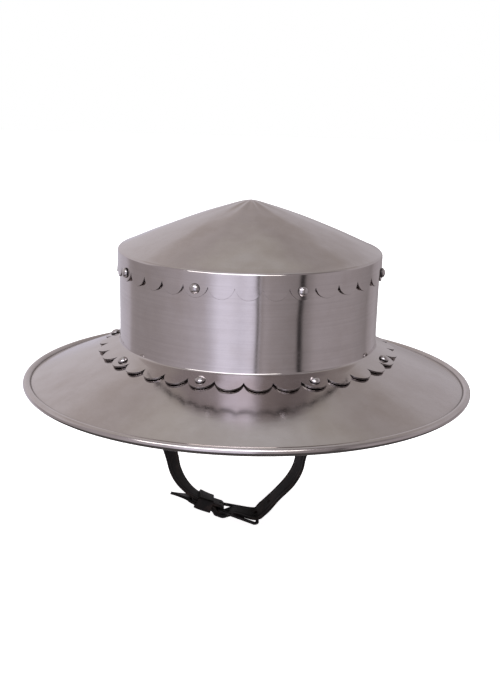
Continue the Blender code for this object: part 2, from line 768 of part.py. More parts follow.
def main():
    """Build the whole hat."""
    clear_scene()
    hat = make_collection("kettle_hat")
    cutters = make_collection("kettle_hat_cutters")
    cap = build_cap(hat)
    drum = build_drum(hat)
    brim = build_brim(hat)
    left, right = build_strap(hat, cutters)

    grip = 2 * SHEET + LAP_GAP
    build_rivets([f"cap_rivet_{count + 1}" for count in range(len(CAP_FIXINGS))],
                 cap_seats(), grip, hat)
    cap_holes = build_rivet_holes("cap_rivet_hole_cutter", cap_seats(), grip, cutters)
    add_cut(cap, cap_holes)
    add_cut(drum, cap_holes)

    build_rivets([f"brim_rivet_{count + 1}" for count in range(len(FLANGE_FIXINGS))],
                 flange_seats(), grip, hat)
    brim_holes = build_rivet_holes("brim_rivet_hole_cutter", flange_seats(), grip, cutters)
    add_cut(drum, brim_holes)
    add_cut(brim, brim_holes)

    strap_grip = DRUM_RADIUS - STRAP_BACK + STRAP_THICKNESS
    build_rivets(["strap_rivet_left", "strap_rivet_right"], strap_seats(), strap_grip, hat)
    strap_holes = build_rivet_holes("strap_rivet_hole_cutter", strap_seats(), strap_grip, cutters)
    add_cut(drum, strap_holes)
    add_cut(left, strap_holes)
    add_cut(right, strap_holes)


main()
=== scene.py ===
"""Looks of the kettle hat: polished sheet steel, domed rivets and a buckled black leather chin strap."""

import logging
import math
from dataclasses import dataclass, field
from enum import Enum
from typing import Callable, Iterable, NamedTuple, Optional, Sequence

import bmesh
import bpy
from mathutils import Matrix, Vector, noise

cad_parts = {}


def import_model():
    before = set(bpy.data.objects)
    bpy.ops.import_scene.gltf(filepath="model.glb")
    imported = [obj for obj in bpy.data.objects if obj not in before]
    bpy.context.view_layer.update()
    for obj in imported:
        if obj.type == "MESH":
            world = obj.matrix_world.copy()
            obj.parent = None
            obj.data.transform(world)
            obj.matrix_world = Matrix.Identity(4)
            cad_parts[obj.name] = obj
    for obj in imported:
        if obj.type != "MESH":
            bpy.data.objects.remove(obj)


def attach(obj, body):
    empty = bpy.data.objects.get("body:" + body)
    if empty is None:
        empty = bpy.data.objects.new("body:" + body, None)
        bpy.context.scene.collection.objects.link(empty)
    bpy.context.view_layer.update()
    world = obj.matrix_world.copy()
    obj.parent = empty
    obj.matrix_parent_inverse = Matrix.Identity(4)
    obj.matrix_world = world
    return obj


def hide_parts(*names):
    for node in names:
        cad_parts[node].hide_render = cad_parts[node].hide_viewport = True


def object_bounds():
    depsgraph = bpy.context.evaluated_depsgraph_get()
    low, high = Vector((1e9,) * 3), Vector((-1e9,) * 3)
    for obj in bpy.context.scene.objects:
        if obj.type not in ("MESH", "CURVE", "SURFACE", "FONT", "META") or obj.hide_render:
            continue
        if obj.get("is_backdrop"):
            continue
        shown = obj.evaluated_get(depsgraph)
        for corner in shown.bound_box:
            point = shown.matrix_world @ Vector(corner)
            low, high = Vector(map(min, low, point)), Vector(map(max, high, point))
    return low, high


LOG = logging.getLogger("kettle_hat")
MERGE = 0.00002
# Name of the mesh attribute that darkens colour: painted shade, with grime, in the brim's groove and round
# the rivets' feet.
SHADE_AND_GRIME = "shade_and_grime"


class Slot(Enum):
    """Names of the hat's material slots."""

    SHEET_STEEL = "sheet_steel"
    RIVET_STEEL = "rivet_steel"
    LEATHER = "black_leather"
    BLACK_METAL = "black_metal"


class WallSide(Enum):
    """Which way a wall grows from its surface."""

    INWARD = -1.0
    BOTH = 0.0


# Shared geometry
def polar(radius: float, azimuth: float, height: float) -> Vector:
    """Return the point at a radius, an azimuth in degrees from the front and a height."""
    angle = math.radians(azimuth)
    return Vector((radius * math.sin(angle), -radius * math.cos(angle), height))


def azimuth_of(point: Vector) -> float:
    """Return a point's azimuth in degrees from the front."""
    return math.degrees(math.atan2(point.x, -point.y))


def spaced(start: float, end: float, count: int) -> list[float]:
    """Return evenly spaced values from start to end, both included."""
    return [start + (end - start) * index / count for index in range(count + 1)]


def smooth_step(low: float, high: float, value: float) -> float:
    """Return 0 below low, 1 above high and a smooth rise between."""
    share = max(0.0, min(1.0, (value - low) / (high - low)))
    return share * share * (3 - 2 * share)


def finish_piece(name: str, bm: bmesh.types.BMesh, materials: Sequence[bpy.types.Material], slot: Slot,
                 nodes: Sequence[str]) -> bpy.types.Object:
    """Turn a bmesh into a smooth shaded piece that rides on the hat and replaces CAD nodes.

    Args:
        name: The piece's name.
        bm: The shape, freed here.
        materials: Its finish, and that of its cut edges if it differs.
        slot: Not used.
        nodes: The CAD nodes that the piece stands for.

    Returns:
        The new object.
    """
    mesh = bpy.data.meshes.new(name)
    bm.to_mesh(mesh)
    bm.free()
    mesh.shade_smooth()
    for material in materials:
        mesh.materials.append(material)
    piece = bpy.data.objects.new(name, mesh)
    bpy.context.scene.collection.objects.link(piece)
    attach(piece, "root")
    if nodes:
        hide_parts(*nodes)
    return piece


def add_wall(piece: bpy.types.Object, thickness: float, side: WallSide) -> None:
    """Give an open surface its wall, with the last of its materials on the cut edges."""
    wall = piece.modifiers.new("wall", "SOLIDIFY")
    wall.thickness = thickness
    wall.offset = side.value
    wall.use_even_offset = True
    wall.use_quality_normals = True
    wall.material_offset_rim = len(piece.data.materials) - 1


def add_round_edges(piece: bpy.types.Object, width: float, segments: int = 2,
                    limit: float = 50.0) -> None:
    """Round a piece's sharp edges and keep its flat faces' shading."""
    bevel = piece.modifiers.new("round_edges", "BEVEL")
    bevel.width = width
    bevel.segments = segments
    bevel.limit_method = "ANGLE"
    bevel.angle_limit = math.radians(limit)
    bevel.harden_normals = True


def bake_modifiers(piece: bpy.types.Object) -> None:
    """Apply a piece's modifiers, so that its cutters can be removed."""
    graph = bpy.context.evaluated_depsgraph_get()
    mesh = bpy.data.meshes.new_from_object(piece.evaluated_get(graph), depsgraph=graph)
    piece.modifiers.clear()
    old = piece.data
    piece.data = mesh
    mesh.name = old.name
    bpy.data.meshes.remove(old)


def cut_holes(piece: bpy.types.Object, cutter_mesh: bmesh.types.BMesh) -> None:
    """Cut a bmesh out of a piece and apply the cut."""
    mesh = bpy.data.meshes.new("hole_cutter")
    cutter_mesh.to_mesh(mesh)
    cutter_mesh.free()
    cutter = bpy.data.objects.new("hole_cutter", mesh)
    bpy.context.scene.collection.objects.link(cutter)
    cut = piece.modifiers.new("holes", "BOOLEAN")
    cut.operation = "DIFFERENCE"
    cut.solver = "EXACT"
    cut.object = cutter
    bake_modifiers(piece)
    bpy.data.objects.remove(cutter, do_unlink=True)
    bpy.data.meshes.remove(mesh)


def spin_profile(bm: bmesh.types.BMesh, profile: Sequence[tuple[float, float]], steps: int) -> None:
    """Spin a profile of radii and heights, given top to bottom, a full turn round Z."""
    corners = [bm.verts.new((0.0, -radius, height)) for radius, height in profile]
    edges = [bm.edges.new(pair) for pair in zip(corners, corners[1:])]
    bmesh.ops.spin(bm, geom=corners + edges, cent=(0, 0, 0), axis=(0, 0, 1), dvec=(0, 0, 0),
                   angle=math.tau, steps=steps, use_merge=True, use_duplicate=False)
    bmesh.ops.remove_doubles(bm, verts=bm.verts, dist=MERGE)


def face_from_axis(bm: bmesh.types.BMesh) -> None:
    """Turn a round sheet's faces away from its axis."""
    bmesh.ops.recalc_face_normals(bm, faces=bm.faces)
    outward = sum(face.normal.xy.dot(face.calc_center_median().xy) for face in bm.faces)
    if outward < 0:
        bmesh.ops.reverse_faces(bm, faces=bm.faces)


def arc(centre: tuple[float, float], radius: float, start: float, end: float,
        count: int) -> list[tuple[float, float]]:
    """Return points of a circular arc between two angles in degrees."""
    points = []
    for angle in spaced(math.radians(start), math.radians(end), count):
        points.append((centre[0] + radius * math.cos(angle), centre[1] + radius * math.sin(angle)))
    return points


# Node materials
class NodeTree:
    """A node tree, with short calls for the nodes that the finishes and the studio share."""

    # Places of the Mix node's colour sockets
    MIX_FIRST = 6
    MIX_SECOND = 7
    MIX_RESULT = 2

    def __init__(self, tree: bpy.types.NodeTree, coordinate: str) -> None:
        """Take over a tree, with the coordinates that its textures follow."""
        self.nodes = tree.nodes
        self.links = tree.links
        self.place = self.nodes.new("ShaderNodeTexCoord").outputs[coordinate]

    def link(self, source: bpy.types.NodeSocket, target: bpy.types.NodeSocket) -> None:
        """Join two sockets."""
        self.links.new(source, target)

    def stretched(self, scale: tuple[float, float, float],
                  source: Optional[bpy.types.NodeSocket] = None) -> bpy.types.NodeSocket:
        """Return coordinates scaled by a Mapping node."""
        mapping = self.nodes.new("ShaderNodeMapping")
        mapping.inputs["Scale"].default_value = scale
        self.link(source or self.place, mapping.inputs["Vector"])
        return mapping.outputs["Vector"]

    def noise(self, scale: float, detail: float = 2.0, roughness: float = 0.5,
              source: Optional[bpy.types.NodeSocket] = None) -> bpy.types.NodeSocket:
        """Return a noise texture's value."""
        texture = self.nodes.new("ShaderNodeTexNoise")
        texture.inputs["Scale"].default_value = scale
        texture.inputs["Detail"].default_value = detail
        texture.inputs["Roughness"].default_value = roughness
        self.link(source or self.place, texture.inputs["Vector"])
        return texture.outputs["Fac"]

    def cells(self, scale: float, feature: str = "F1") -> bpy.types.NodeSocket:
        """Return a Voronoi texture's distance."""
        texture = self.nodes.new("ShaderNodeTexVoronoi")
        texture.feature = feature
        texture.inputs["Scale"].default_value = scale
        self.link(self.place, texture.inputs["Vector"])
        return texture.outputs["Distance"]

    def maths(self, operation: str, first: bpy.types.NodeSocket,
              second: float | bpy.types.NodeSocket = 0.0) -> bpy.types.NodeSocket:
        """Return the result of a Math node."""
        node = self.nodes.new("ShaderNodeMath")
        node.operation = operation
        self.link(first, node.inputs[0])
        if isinstance(second, bpy.types.NodeSocket):
            self.link(second, node.inputs[1])
        else:
            node.inputs[1].default_value = second
        return node.outputs[0]

    def ramp(self, source: bpy.types.NodeSocket, low: float, high: float, bottom: float = 0.0,
             top: float = 1.0, smooth: bool = False) -> bpy.types.NodeSocket:
        """Return a value mapped from one range to another, held at its ends."""
        node = self.nodes.new("ShaderNodeMapRange")
        node.interpolation_type = "SMOOTHSTEP" if smooth else "LINEAR"
        for name, value in (("From Min", low), ("From Max", high), ("To Min", bottom), ("To Max", top)):
            node.inputs[name].default_value = value
        self.link(source, node.inputs["Value"])
        return node.outputs["Result"]

    def blend(self, share: bpy.types.NodeSocket, first: Sequence[float] | bpy.types.NodeSocket,
              second: Sequence[float] | bpy.types.NodeSocket) -> bpy.types.NodeSocket:
        """Return a colour blended by a share from the first to the second."""
        node = self.nodes.new("ShaderNodeMix")
        node.data_type = "RGBA"
        self.link(share, node.inputs[0])
        for place, colour in ((self.MIX_FIRST, first), (self.MIX_SECOND, second)):
            if isinstance(colour, bpy.types.NodeSocket):
                self.link(colour, node.inputs[place])
            else:
                node.inputs[place].default_value = (*colour, 1.0)
        return node.outputs[self.MIX_RESULT]

    def stops(self, share: bpy.types.NodeSocket,
              marks: Sequence[tuple[float, Sequence[float]]]) -> bpy.types.NodeSocket:
        """Return a colour read off stops by a share from 0 to 1."""
        node = self.nodes.new("ShaderNodeValToRGB")
        made = node.color_ramp.elements
        made.remove(made[-1])
        for index, (position, colour) in enumerate(marks):
            stop = made.new(position) if index else made[0]
            stop.position = position
            stop.color = (*colour, 1.0)
        self.link(share, node.inputs["Fac"])
        return node.outputs["Color"]

    def scaled(self, colour: bpy.types.NodeSocket,
               factor: bpy.types.NodeSocket) -> bpy.types.NodeSocket:
        """Return a colour times a factor."""
        node = self.nodes.new("ShaderNodeVectorMath")
        node.operation = "SCALE"
        self.link(colour, node.inputs[0])
        self.link(factor, node.inputs["Scale"])
        return node.outputs["Vector"]

    def attribute(self, name: str) -> bpy.types.NodeSocket:
        """Return a mesh attribute's value."""
        node = self.nodes.new("ShaderNodeAttribute")
        node.attribute_name = name
        return node.outputs["Fac"]

    def part(self, axis: str) -> bpy.types.NodeSocket:
        """Return one part of the coordinates; an object's are in metres."""
        node = self.nodes.new("ShaderNodeSeparateXYZ")
        self.link(self.place, node.inputs[0])
        return node.outputs[axis]

    def bump(self, height: bpy.types.NodeSocket, strength: float, distance: float,
             below: Optional[bpy.types.NodeSocket] = None) -> bpy.types.NodeSocket:
        """Return a normal bent by a height, over another bump's normal if one is given."""
        node = self.nodes.new("ShaderNodeBump")
        node.inputs["Strength"].default_value = strength
        node.inputs["Distance"].default_value = distance
        self.link(height, node.inputs["Height"])
        if below is not None:
            self.link(below, node.inputs["Normal"])
        return node.outputs["Normal"]


class NodeSheet(NodeTree):
    """A material with one Principled shader."""

    def __init__(self, name: str) -> None:
        """Start the material, whose textures follow the object's own place."""
        self.material = bpy.data.materials.new(name)
        self.material.use_nodes = True
        super().__init__(self.material.node_tree, "Object")
        self.shader = self.nodes["Principled BSDF"]

    def set(self, name: str, value: float | Sequence[float] | bpy.types.NodeSocket) -> None:
        """Set a shader input to a value, or link it."""
        if isinstance(value, bpy.types.NodeSocket):
            self.link(value, self.shader.inputs[name])
        else:
            self.shader.inputs[name].default_value = value


@dataclass(frozen=True)
class PolishedSteel:
    """Hand polished sheet steel: planished cone, fine brushing round it, painted shade and grime darkening
    its grooves.
    """

    name: str = "polished_steel"
    bright: tuple[float, float, float] = (0.640, 0.596, 0.586)
    tarnish: tuple[float, float, float] = (0.560, 0.508, 0.485)
    brushed: tuple[float, float, float] = (0.520, 0.478, 0.470)
    # Colour of the brim's groove: painted shade, with grime.
    shade_and_grime: tuple[float, float, float] = (0.085, 0.075, 0.070)
    roughness: float = 0.050
    smear: float = 0.060
    brim_haze: float = 0.060
    groove_dullness: float = 0.35
    cone_foot: tuple[float, float] = (-0.001, 0.012)
    drum_top: tuple[float, float] = (0.002, -0.002)
    drum_foot: tuple[float, float] = (-0.087, -0.079)
    brim_top: tuple[float, float] = (-0.086, -0.092)
    stain_scale: float = 16.0
    mottle_scale: float = 62.0
    mottle_share: float = 0.55
    streak_stretch: tuple[float, float, float] = (9.0, 9.0, 420.0)
    streak_share: float = 0.5
    smear_scale: float = 45.0
    wave_scale: float = 19.0
    wave_depth: float = 0.00272
    dent_scale: float = 64.0
    dent_depth: float = 0.00034
    brush_stretch: tuple[float, float, float] = (22.0, 22.0, 2600.0)
    scratch_stretch: tuple[float, float, float] = (160.0, 1900.0, 420.0)
    brush_depth: float = 0.00001

    def make(self) -> bpy.types.Material:
        """Return the node material."""
        sheet = NodeSheet(self.name)
        height = sheet.part("Z")
        cone = sheet.ramp(height, *self.cone_foot)
        drum = sheet.maths("MULTIPLY", sheet.ramp(height, *self.drum_foot),
                           sheet.ramp(height, *self.drum_top))
        stain = sheet.ramp(sheet.noise(self.stain_scale, 5.0, 0.62), 0.50, 0.74)
        mottle = sheet.ramp(sheet.noise(self.mottle_scale, 5.0, 0.7), 0.42, 0.74)
        colour = sheet.blend(stain, self.bright, self.tarnish)
        colour = sheet.blend(sheet.maths("MULTIPLY", mottle, self.mottle_share), colour, self.tarnish)
        streak = sheet.noise(1.0, 4.0, 0.65, sheet.stretched(self.streak_stretch))
        brushed = sheet.maths("MULTIPLY", sheet.ramp(streak, 0.38, 0.76, 0.0, self.streak_share), drum)
        colour = sheet.blend(brushed, colour, self.brushed)
        # Darken the groove by the brim's bead: painted shade, with grime.
        groove = sheet.attribute(SHADE_AND_GRIME)
        sheet.set("Base Color", sheet.blend(groove, colour, self.shade_and_grime))
        smear = sheet.maths("MULTIPLY", sheet.noise(self.smear_scale, 3.0, 0.6), streak)
        rough = sheet.ramp(smear, 0.16, 0.36, self.roughness, self.roughness + self.smear)
        rough = sheet.maths("ADD", rough, sheet.ramp(height, *self.brim_top, 0.0, self.brim_haze))
        dull = sheet.maths("MULTIPLY", groove, self.groove_dullness)
        sheet.set("Roughness", sheet.maths("ADD", rough, dull))
        sheet.set("Metallic", 1.0)
        dents = sheet.ramp(sheet.cells(self.dent_scale, "SMOOTH_F1"), 0.0, 0.7)
        dents = sheet.maths("MULTIPLY", dents, cone)
        normal = sheet.bump(sheet.noise(self.wave_scale, 1.0, 0.4), 0.05, self.wave_depth)
        normal = sheet.bump(dents, 0.22, self.dent_depth, normal)
        brush = sheet.noise(1.0, 3.0, 0.7, sheet.stretched(self.brush_stretch))
        normal = sheet.bump(brush, 0.5, self.brush_depth, normal)
        scratch = sheet.noise(1.0, 2.0, 0.7, sheet.stretched(self.scratch_stretch))
        sheet.set("Normal", sheet.bump(scratch, 0.3, self.brush_depth, normal))
        return sheet.material


@dataclass(frozen=True)
class CutEdge:
    """The sheets' sheared and filed edges: dull, and dark partly from painted shade of the gaps under the
    scallops.
    """

    name: str = "shaded_cut_edge_steel"
    # Dull cut steel, made darker to paint in the shade of the gaps under the scallop hems.
    dark: tuple[float, float, float] = (0.16, 0.145, 0.14)
    filed: tuple[float, float, float] = (0.40, 0.37, 0.36)
    roughness: float = 0.24
    file_scale: float = 300.0
    burr_scale: float = 900.0
    burr_depth: float = 0.0002

    def make(self) -> bpy.types.Material:
        """Return the node material."""
        sheet = NodeSheet(self.name)
        filed = sheet.ramp(sheet.noise(self.file_scale, 3.0, 0.6), 0.5, 0.72)
        sheet.set("Base Color", sheet.blend(filed, self.dark, self.filed))
        sheet.set("Roughness", self.roughness)
        sheet.set("Metallic", 1.0)
        sheet.set("Normal", sheet.bump(sheet.noise(self.burr_scale, 2.0), 0.4, self.burr_depth))
        return sheet.material


@dataclass(frozen=True)
class RivetSteel:
    """Bright domed rivet steel with a dull foot, darkened by painted shade and grime."""

    name: str = "rivet_steel"
    bright: tuple[float, float, float] = (0.60, 0.565, 0.56)
    dark: tuple[float, float, float] = (0.34, 0.31, 0.30)
    # Colour of the ring round each rivet's foot: painted shade of the seat's gap, with grime.
    foot: tuple[float, float, float] = (0.050, 0.044, 0.042)
    roughness: float = 0.15
    spot_dullness: float = 0.25
    foot_dullness: float = 0.20
    spot_scale: float = 420.0
    pit_scale: float = 700.0
    pit_depth: float = 0.0002

    def make(self) -> bpy.types.Material:
        """Return the node material."""
        sheet = NodeSheet(self.name)
        spots = sheet.ramp(sheet.noise(self.spot_scale, 3.0, 0.6), 0.52, 0.78)
        # Darken the foot of each head: painted shade, with grime.
        foot = sheet.attribute(SHADE_AND_GRIME)
        sheet.set("Base Color", sheet.blend(foot, sheet.blend(spots, self.bright, self.dark), self.foot))
        rough = sheet.ramp(spots, 0.0, 1.0, self.roughness, self.roughness + self.spot_dullness)
        dull = sheet.maths("MULTIPLY", foot, self.foot_dullness)
        sheet.set("Roughness", sheet.maths("ADD", rough, dull))
        sheet.set("Metallic", 1.0)
        sheet.set("Normal", sheet.bump(sheet.noise(self.pit_scale, 2.0), 0.2, self.pit_depth))
        return sheet.material


@dataclass(frozen=True)
class BlackLeather:
    """Black dyed strap leather: fine grain, brown where it is rubbed, fibrous lengthwise streaks."""

    name: str = "black_leather"
    dyed: tuple[float, float, float] = (0.0050, 0.0042, 0.0040)
    rubbed: tuple[float, float, float] = (0.022, 0.013, 0.011)
    roughness: float = 0.50
    sheen: float = 0.16
    layout_name: str = "strap_layout"
    streak_stretch: tuple[float, float, float] = (60.0, 900.0, 1.0)
    crease_stretch: tuple[float, float, float] = (420.0, 130.0, 1.0)
    wear_scale: float = 90.0
    grain_scale: float = 1500.0
    crease_depth: float = 0.0004
    streak_depth: float = 0.0003
    grain_depth: float = 0.00015

    def make(self) -> bpy.types.Material:
        """Return the node material, which follows the strap's own UV map in metres."""
        sheet = NodeSheet(self.name)
        layout = sheet.nodes.new("ShaderNodeUVMap")
        layout.uv_map = self.layout_name
        along = layout.outputs["UV"]
        streaks = sheet.noise(1.0, 4.0, 0.65, sheet.stretched(self.streak_stretch, along))
        wear = sheet.noise(self.wear_scale, 4.0, 0.6)
        rub = sheet.ramp(sheet.maths("MULTIPLY", streaks, wear), 0.22, 0.42)
        sheet.set("Base Color", sheet.blend(rub, self.dyed, self.rubbed))
        sheet.set("Roughness", sheet.ramp(streaks, 0.3, 0.7, self.roughness - 0.08, self.roughness + 0.16))
        sheet.set("Specular IOR Level", self.sheen)
        crease = sheet.noise(1.0, 3.0, 0.6, sheet.stretched(self.crease_stretch, along))
        normal = sheet.bump(crease, 0.5, self.crease_depth)
        normal = sheet.bump(streaks, 0.45, self.streak_depth, normal)
        grain = sheet.cells(self.grain_scale)
        sheet.set("Normal", sheet.bump(grain, 0.35, self.grain_depth, normal))
        return sheet.material


@dataclass(frozen=True)
class BlackMetal:
    """Blackened buckle wire, worn brighter in places."""

    name: str = "black_metal"
    black: tuple[float, float, float] = (0.022, 0.020, 0.020)
    worn: tuple[float, float, float] = (0.16, 0.145, 0.135)
    roughness: float = 0.33
    black_dullness: float = 0.12
    wear_scale: float = 260.0
    pit_scale: float = 600.0
    pit_depth: float = 0.0002

    def make(self) -> bpy.types.Material:
        """Return the node material."""
        sheet = NodeSheet(self.name)
        worn = sheet.ramp(sheet.noise(self.wear_scale, 4.0, 0.65), 0.56, 0.70)
        sheet.set("Base Color", sheet.blend(worn, self.black, self.worn))
        black = self.roughness + self.black_dullness
        sheet.set("Roughness", sheet.ramp(worn, 0.0, 1.0, black, self.roughness))
        sheet.set("Metallic", 0.85)
        sheet.set("Normal", sheet.bump(sheet.noise(self.pit_scale, 3.0), 0.3, self.pit_depth))
        return sheet.material


@dataclass(frozen=True)
class Finishes:
    """The hat's finishes, made once."""

    sheet: tuple[bpy.types.Material, bpy.types.Material]
    rivet: bpy.types.Material
    leather: bpy.types.Material
    metal: bpy.types.Material

    @classmethod
    def make(cls) -> "Finishes":
        """Make each finish's material."""
        sheet = (PolishedSteel().make(), CutEdge().make())
        return cls(sheet, RivetSteel().make(), BlackLeather().make(), BlackMetal().make())


# Scalloped edges
class Fixing(NamedTuple):
    """A rivet's azimuth, and the scallops from it to the next."""

    azimuth: float
    scallops_to_next: int


CAP_FIXINGS = (
    Fixing(-64.0, 4), Fixing(-22.5, 4), Fixing(21.0, 5), Fixing(78.0, 4),
    Fixing(121.6, 4), Fixing(165.2, 4), Fixing(208.8, 4), Fixing(252.4, 4),
)
FLANGE_FIXINGS = (
    Fixing(-103.0, 4), Fixing(-58.0, 4), Fixing(-18.0, 4), Fixing(25.5, 4),
    Fixing(70.5, 4), Fixing(117.0, 4), Fixing(163.5, 4), Fixing(210.0, 4),
)


@dataclass
class ScallopRow:
    """Scallops marked out by hand along a lap, with a rivet in every few of them."""

    fixings: Sequence[Fixing]
    half_angle: float = math.radians(74)
    steps: int = 14

    @property
    def count(self) -> int:
        """Return the number of scallops."""
        return sum(fixing.scallops_to_next for fixing in self.fixings)

    @property
    def columns(self) -> int:
        """Return the number of mesh columns round the edge."""
        return self.count * self.steps

    def azimuth(self, position: float) -> float:
        """Return the azimuth at a position counted in scallops' middles from the first fixing."""
        start = 0
        turns = [fixing.azimuth for fixing in self.fixings] + [self.fixings[0].azimuth + 360]
        for index, fixing in enumerate(self.fixings):
            if position <= start + fixing.scallops_to_next or index == len(self.fixings) - 1:
                share = (position - start) / fixing.scallops_to_next
                return turns[index] + share * (turns[index + 1] - turns[index])
            start += fixing.scallops_to_next
        return turns[-1]

    def column(self, index: int) -> tuple[float, float]:
        """Return a column's azimuth and its share of the scallop's depth."""
        scallop, step = divmod(index, self.steps)
        angle = self.half_angle * (2 * step / self.steps - 1)
        side = math.sin(angle) / math.sin(self.half_angle) / 2
        floor = math.cos(self.half_angle)
        return self.azimuth((scallop + side) % self.count), (math.cos(angle) - floor) / (1 - floor)

    def shape(self, bm: bmesh.types.BMesh, place: Callable[[float, float, float, float], Vector]) -> None:
        """Move a spun sheet's columns to the scallops and lower its hem.

        Args:
            bm: A sheet spun in as many steps as the row has columns.
            place: Returns a vertex's place from its radius, height, azimuth and depth share.
        """
        for vertex in bm.verts:
            radius = vertex.co.xy.length
            if radius < MERGE:
                continue
            turn = azimuth_of(vertex.co) % 360.0
            azimuth, depth = self.column(round(turn / 360.0 * self.columns) % self.columns)
            vertex.co = place(radius, vertex.co.z, azimuth, depth)
        bmesh.ops.remove_doubles(bm, verts=bm.verts, dist=MERGE)


def hand_wave(azimuth: float, height: float, depth: float, seed: float, waves: float = 1.3) -> float:
    """Return the small in and out wander of a hand raised sheet, in metres."""
    place = polar(waves, azimuth, height * 14.0 + seed)
    return depth * noise.noise(place)


# Sheet metal pieces
@dataclass
class Sheet:
    """Sizes that all the sheets share."""

    thickness: float = 0.0016
    lap_gap: float = 0.0004
    edge_round: float = 0.00045


@dataclass
class Drum:
    """The straight drum and the scalloped flange at its foot."""

    sheet: Sheet
    radius: float = 0.1160
    top_drop: float = 0.0055
    foot_drop: float = 0.0808
    fillet: float = 0.0040
    slope: float = math.radians(22.5)
    flange_to_cusp: float = 0.0082
    scallop_depth: float = 0.0102
    rivet_reach: float = 0.0090
    tight_fillet: float = 0.0022
    wall_rings: int = 30
    fillet_rings: int = 8
    wander: float = 0.00055
    true_at_foot: float = 0.010
    true_at_lap: tuple[float, float] = (-0.034, -0.020)
    lap_wander: float = 0.25
    tip_lift: float = 0.0004
    row: ScallopRow = field(default_factory=lambda: ScallopRow(FLANGE_FIXINGS))

    @property
    def foot(self) -> tuple[float, float]:
        """Return the radius and height where the fillet meets the flange."""
        turn = math.pi / 2 - self.slope
        return (self.radius + self.fillet * (1 - math.cos(turn)),
                -self.foot_drop - self.fillet * math.sin(turn))

    def flange_point(self, reach: float, azimuth: float, rise: float = 0.0) -> Vector:
        """Return a point by its reach down the flange's slope and its rise above it."""
        radius, height = self.foot
        radius += reach * math.cos(self.slope) + rise * math.sin(self.slope)
        height += rise * math.cos(self.slope) - reach * math.sin(self.slope)
        return polar(radius, azimuth, height)

    def profile(self) -> list[tuple[float, float]]:
        """Return the outer profile from the top edge to the cusps, and three hem rings."""
        turn = 90 - math.degrees(self.slope)
        slack = (self.fillet - self.tight_fillet) * math.tan(math.radians(turn / 2))
        start = self.foot_drop + slack
        points = [(self.radius, -drop) for drop in spaced(self.top_drop, start, self.wall_rings)[:-1]]
        centre = (self.radius + self.tight_fillet, -start)
        points += arc(centre, self.tight_fillet, 180, 180 + turn, self.fillet_rings)
        for reach in spaced(-slack, self.flange_to_cusp, 5)[1:]:
            point = self.flange_point(reach, 90.0)
            points.append((point.x, point.z))
        for share in (1 / 3, 2 / 3, 1.0):
            point = self.flange_point(self.flange_to_cusp + share * self.scallop_depth, 90.0)
            points.append((point.x, point.z))
        return points

    def place(self, radius: float, height: float, azimuth: float, depth: float) -> Vector:
        """Return a drum vertex's place, with its hem lowered by the scallop."""
        cusp = self.flange_point(self.flange_to_cusp, 90.0)
        beyond = (radius - cusp.x) / math.cos(self.slope)
        if beyond > MERGE:
            share = beyond / self.scallop_depth
            reach = self.flange_to_cusp + share * depth * self.scallop_depth
            unlike = 1.0 + hand_wave(azimuth, 0.0, depth=0.8, seed=5.0, waves=9.0)
            lift = self.tip_lift * share * depth * unlike
            return self.flange_point(reach, azimuth, lift)
        hold = smooth_step(-self.foot_drop, -self.foot_drop + self.true_at_foot, height)
        below_lap = 1.0 - smooth_step(*self.true_at_lap, height)
        hold *= self.lap_wander + (1.0 - self.lap_wander) * below_lap
        wander = hand_wave(azimuth, height * 1.6, self.wander, seed=3.0, waves=1.7) * hold
        return polar(radius + min(wander, self.sheet.lap_gap / 2), azimuth, height)

    def build(self, finishes: Finishes) -> list[bpy.types.Object]:
        """Build and dress the drum."""
        bm = bmesh.new()
        spin_profile(bm, self.profile(), self.row.columns)
        self.row.shape(bm, self.place)
        face_from_axis(bm)
        drum = finish_piece("drum_band_sheet", bm, finishes.sheet, Slot.SHEET_STEEL, ["drum_band"])
        add_wall(drum, self.sheet.thickness, WallSide.INWARD)
        add_round_edges(drum, self.sheet.edge_round, 3)
        return [drum]


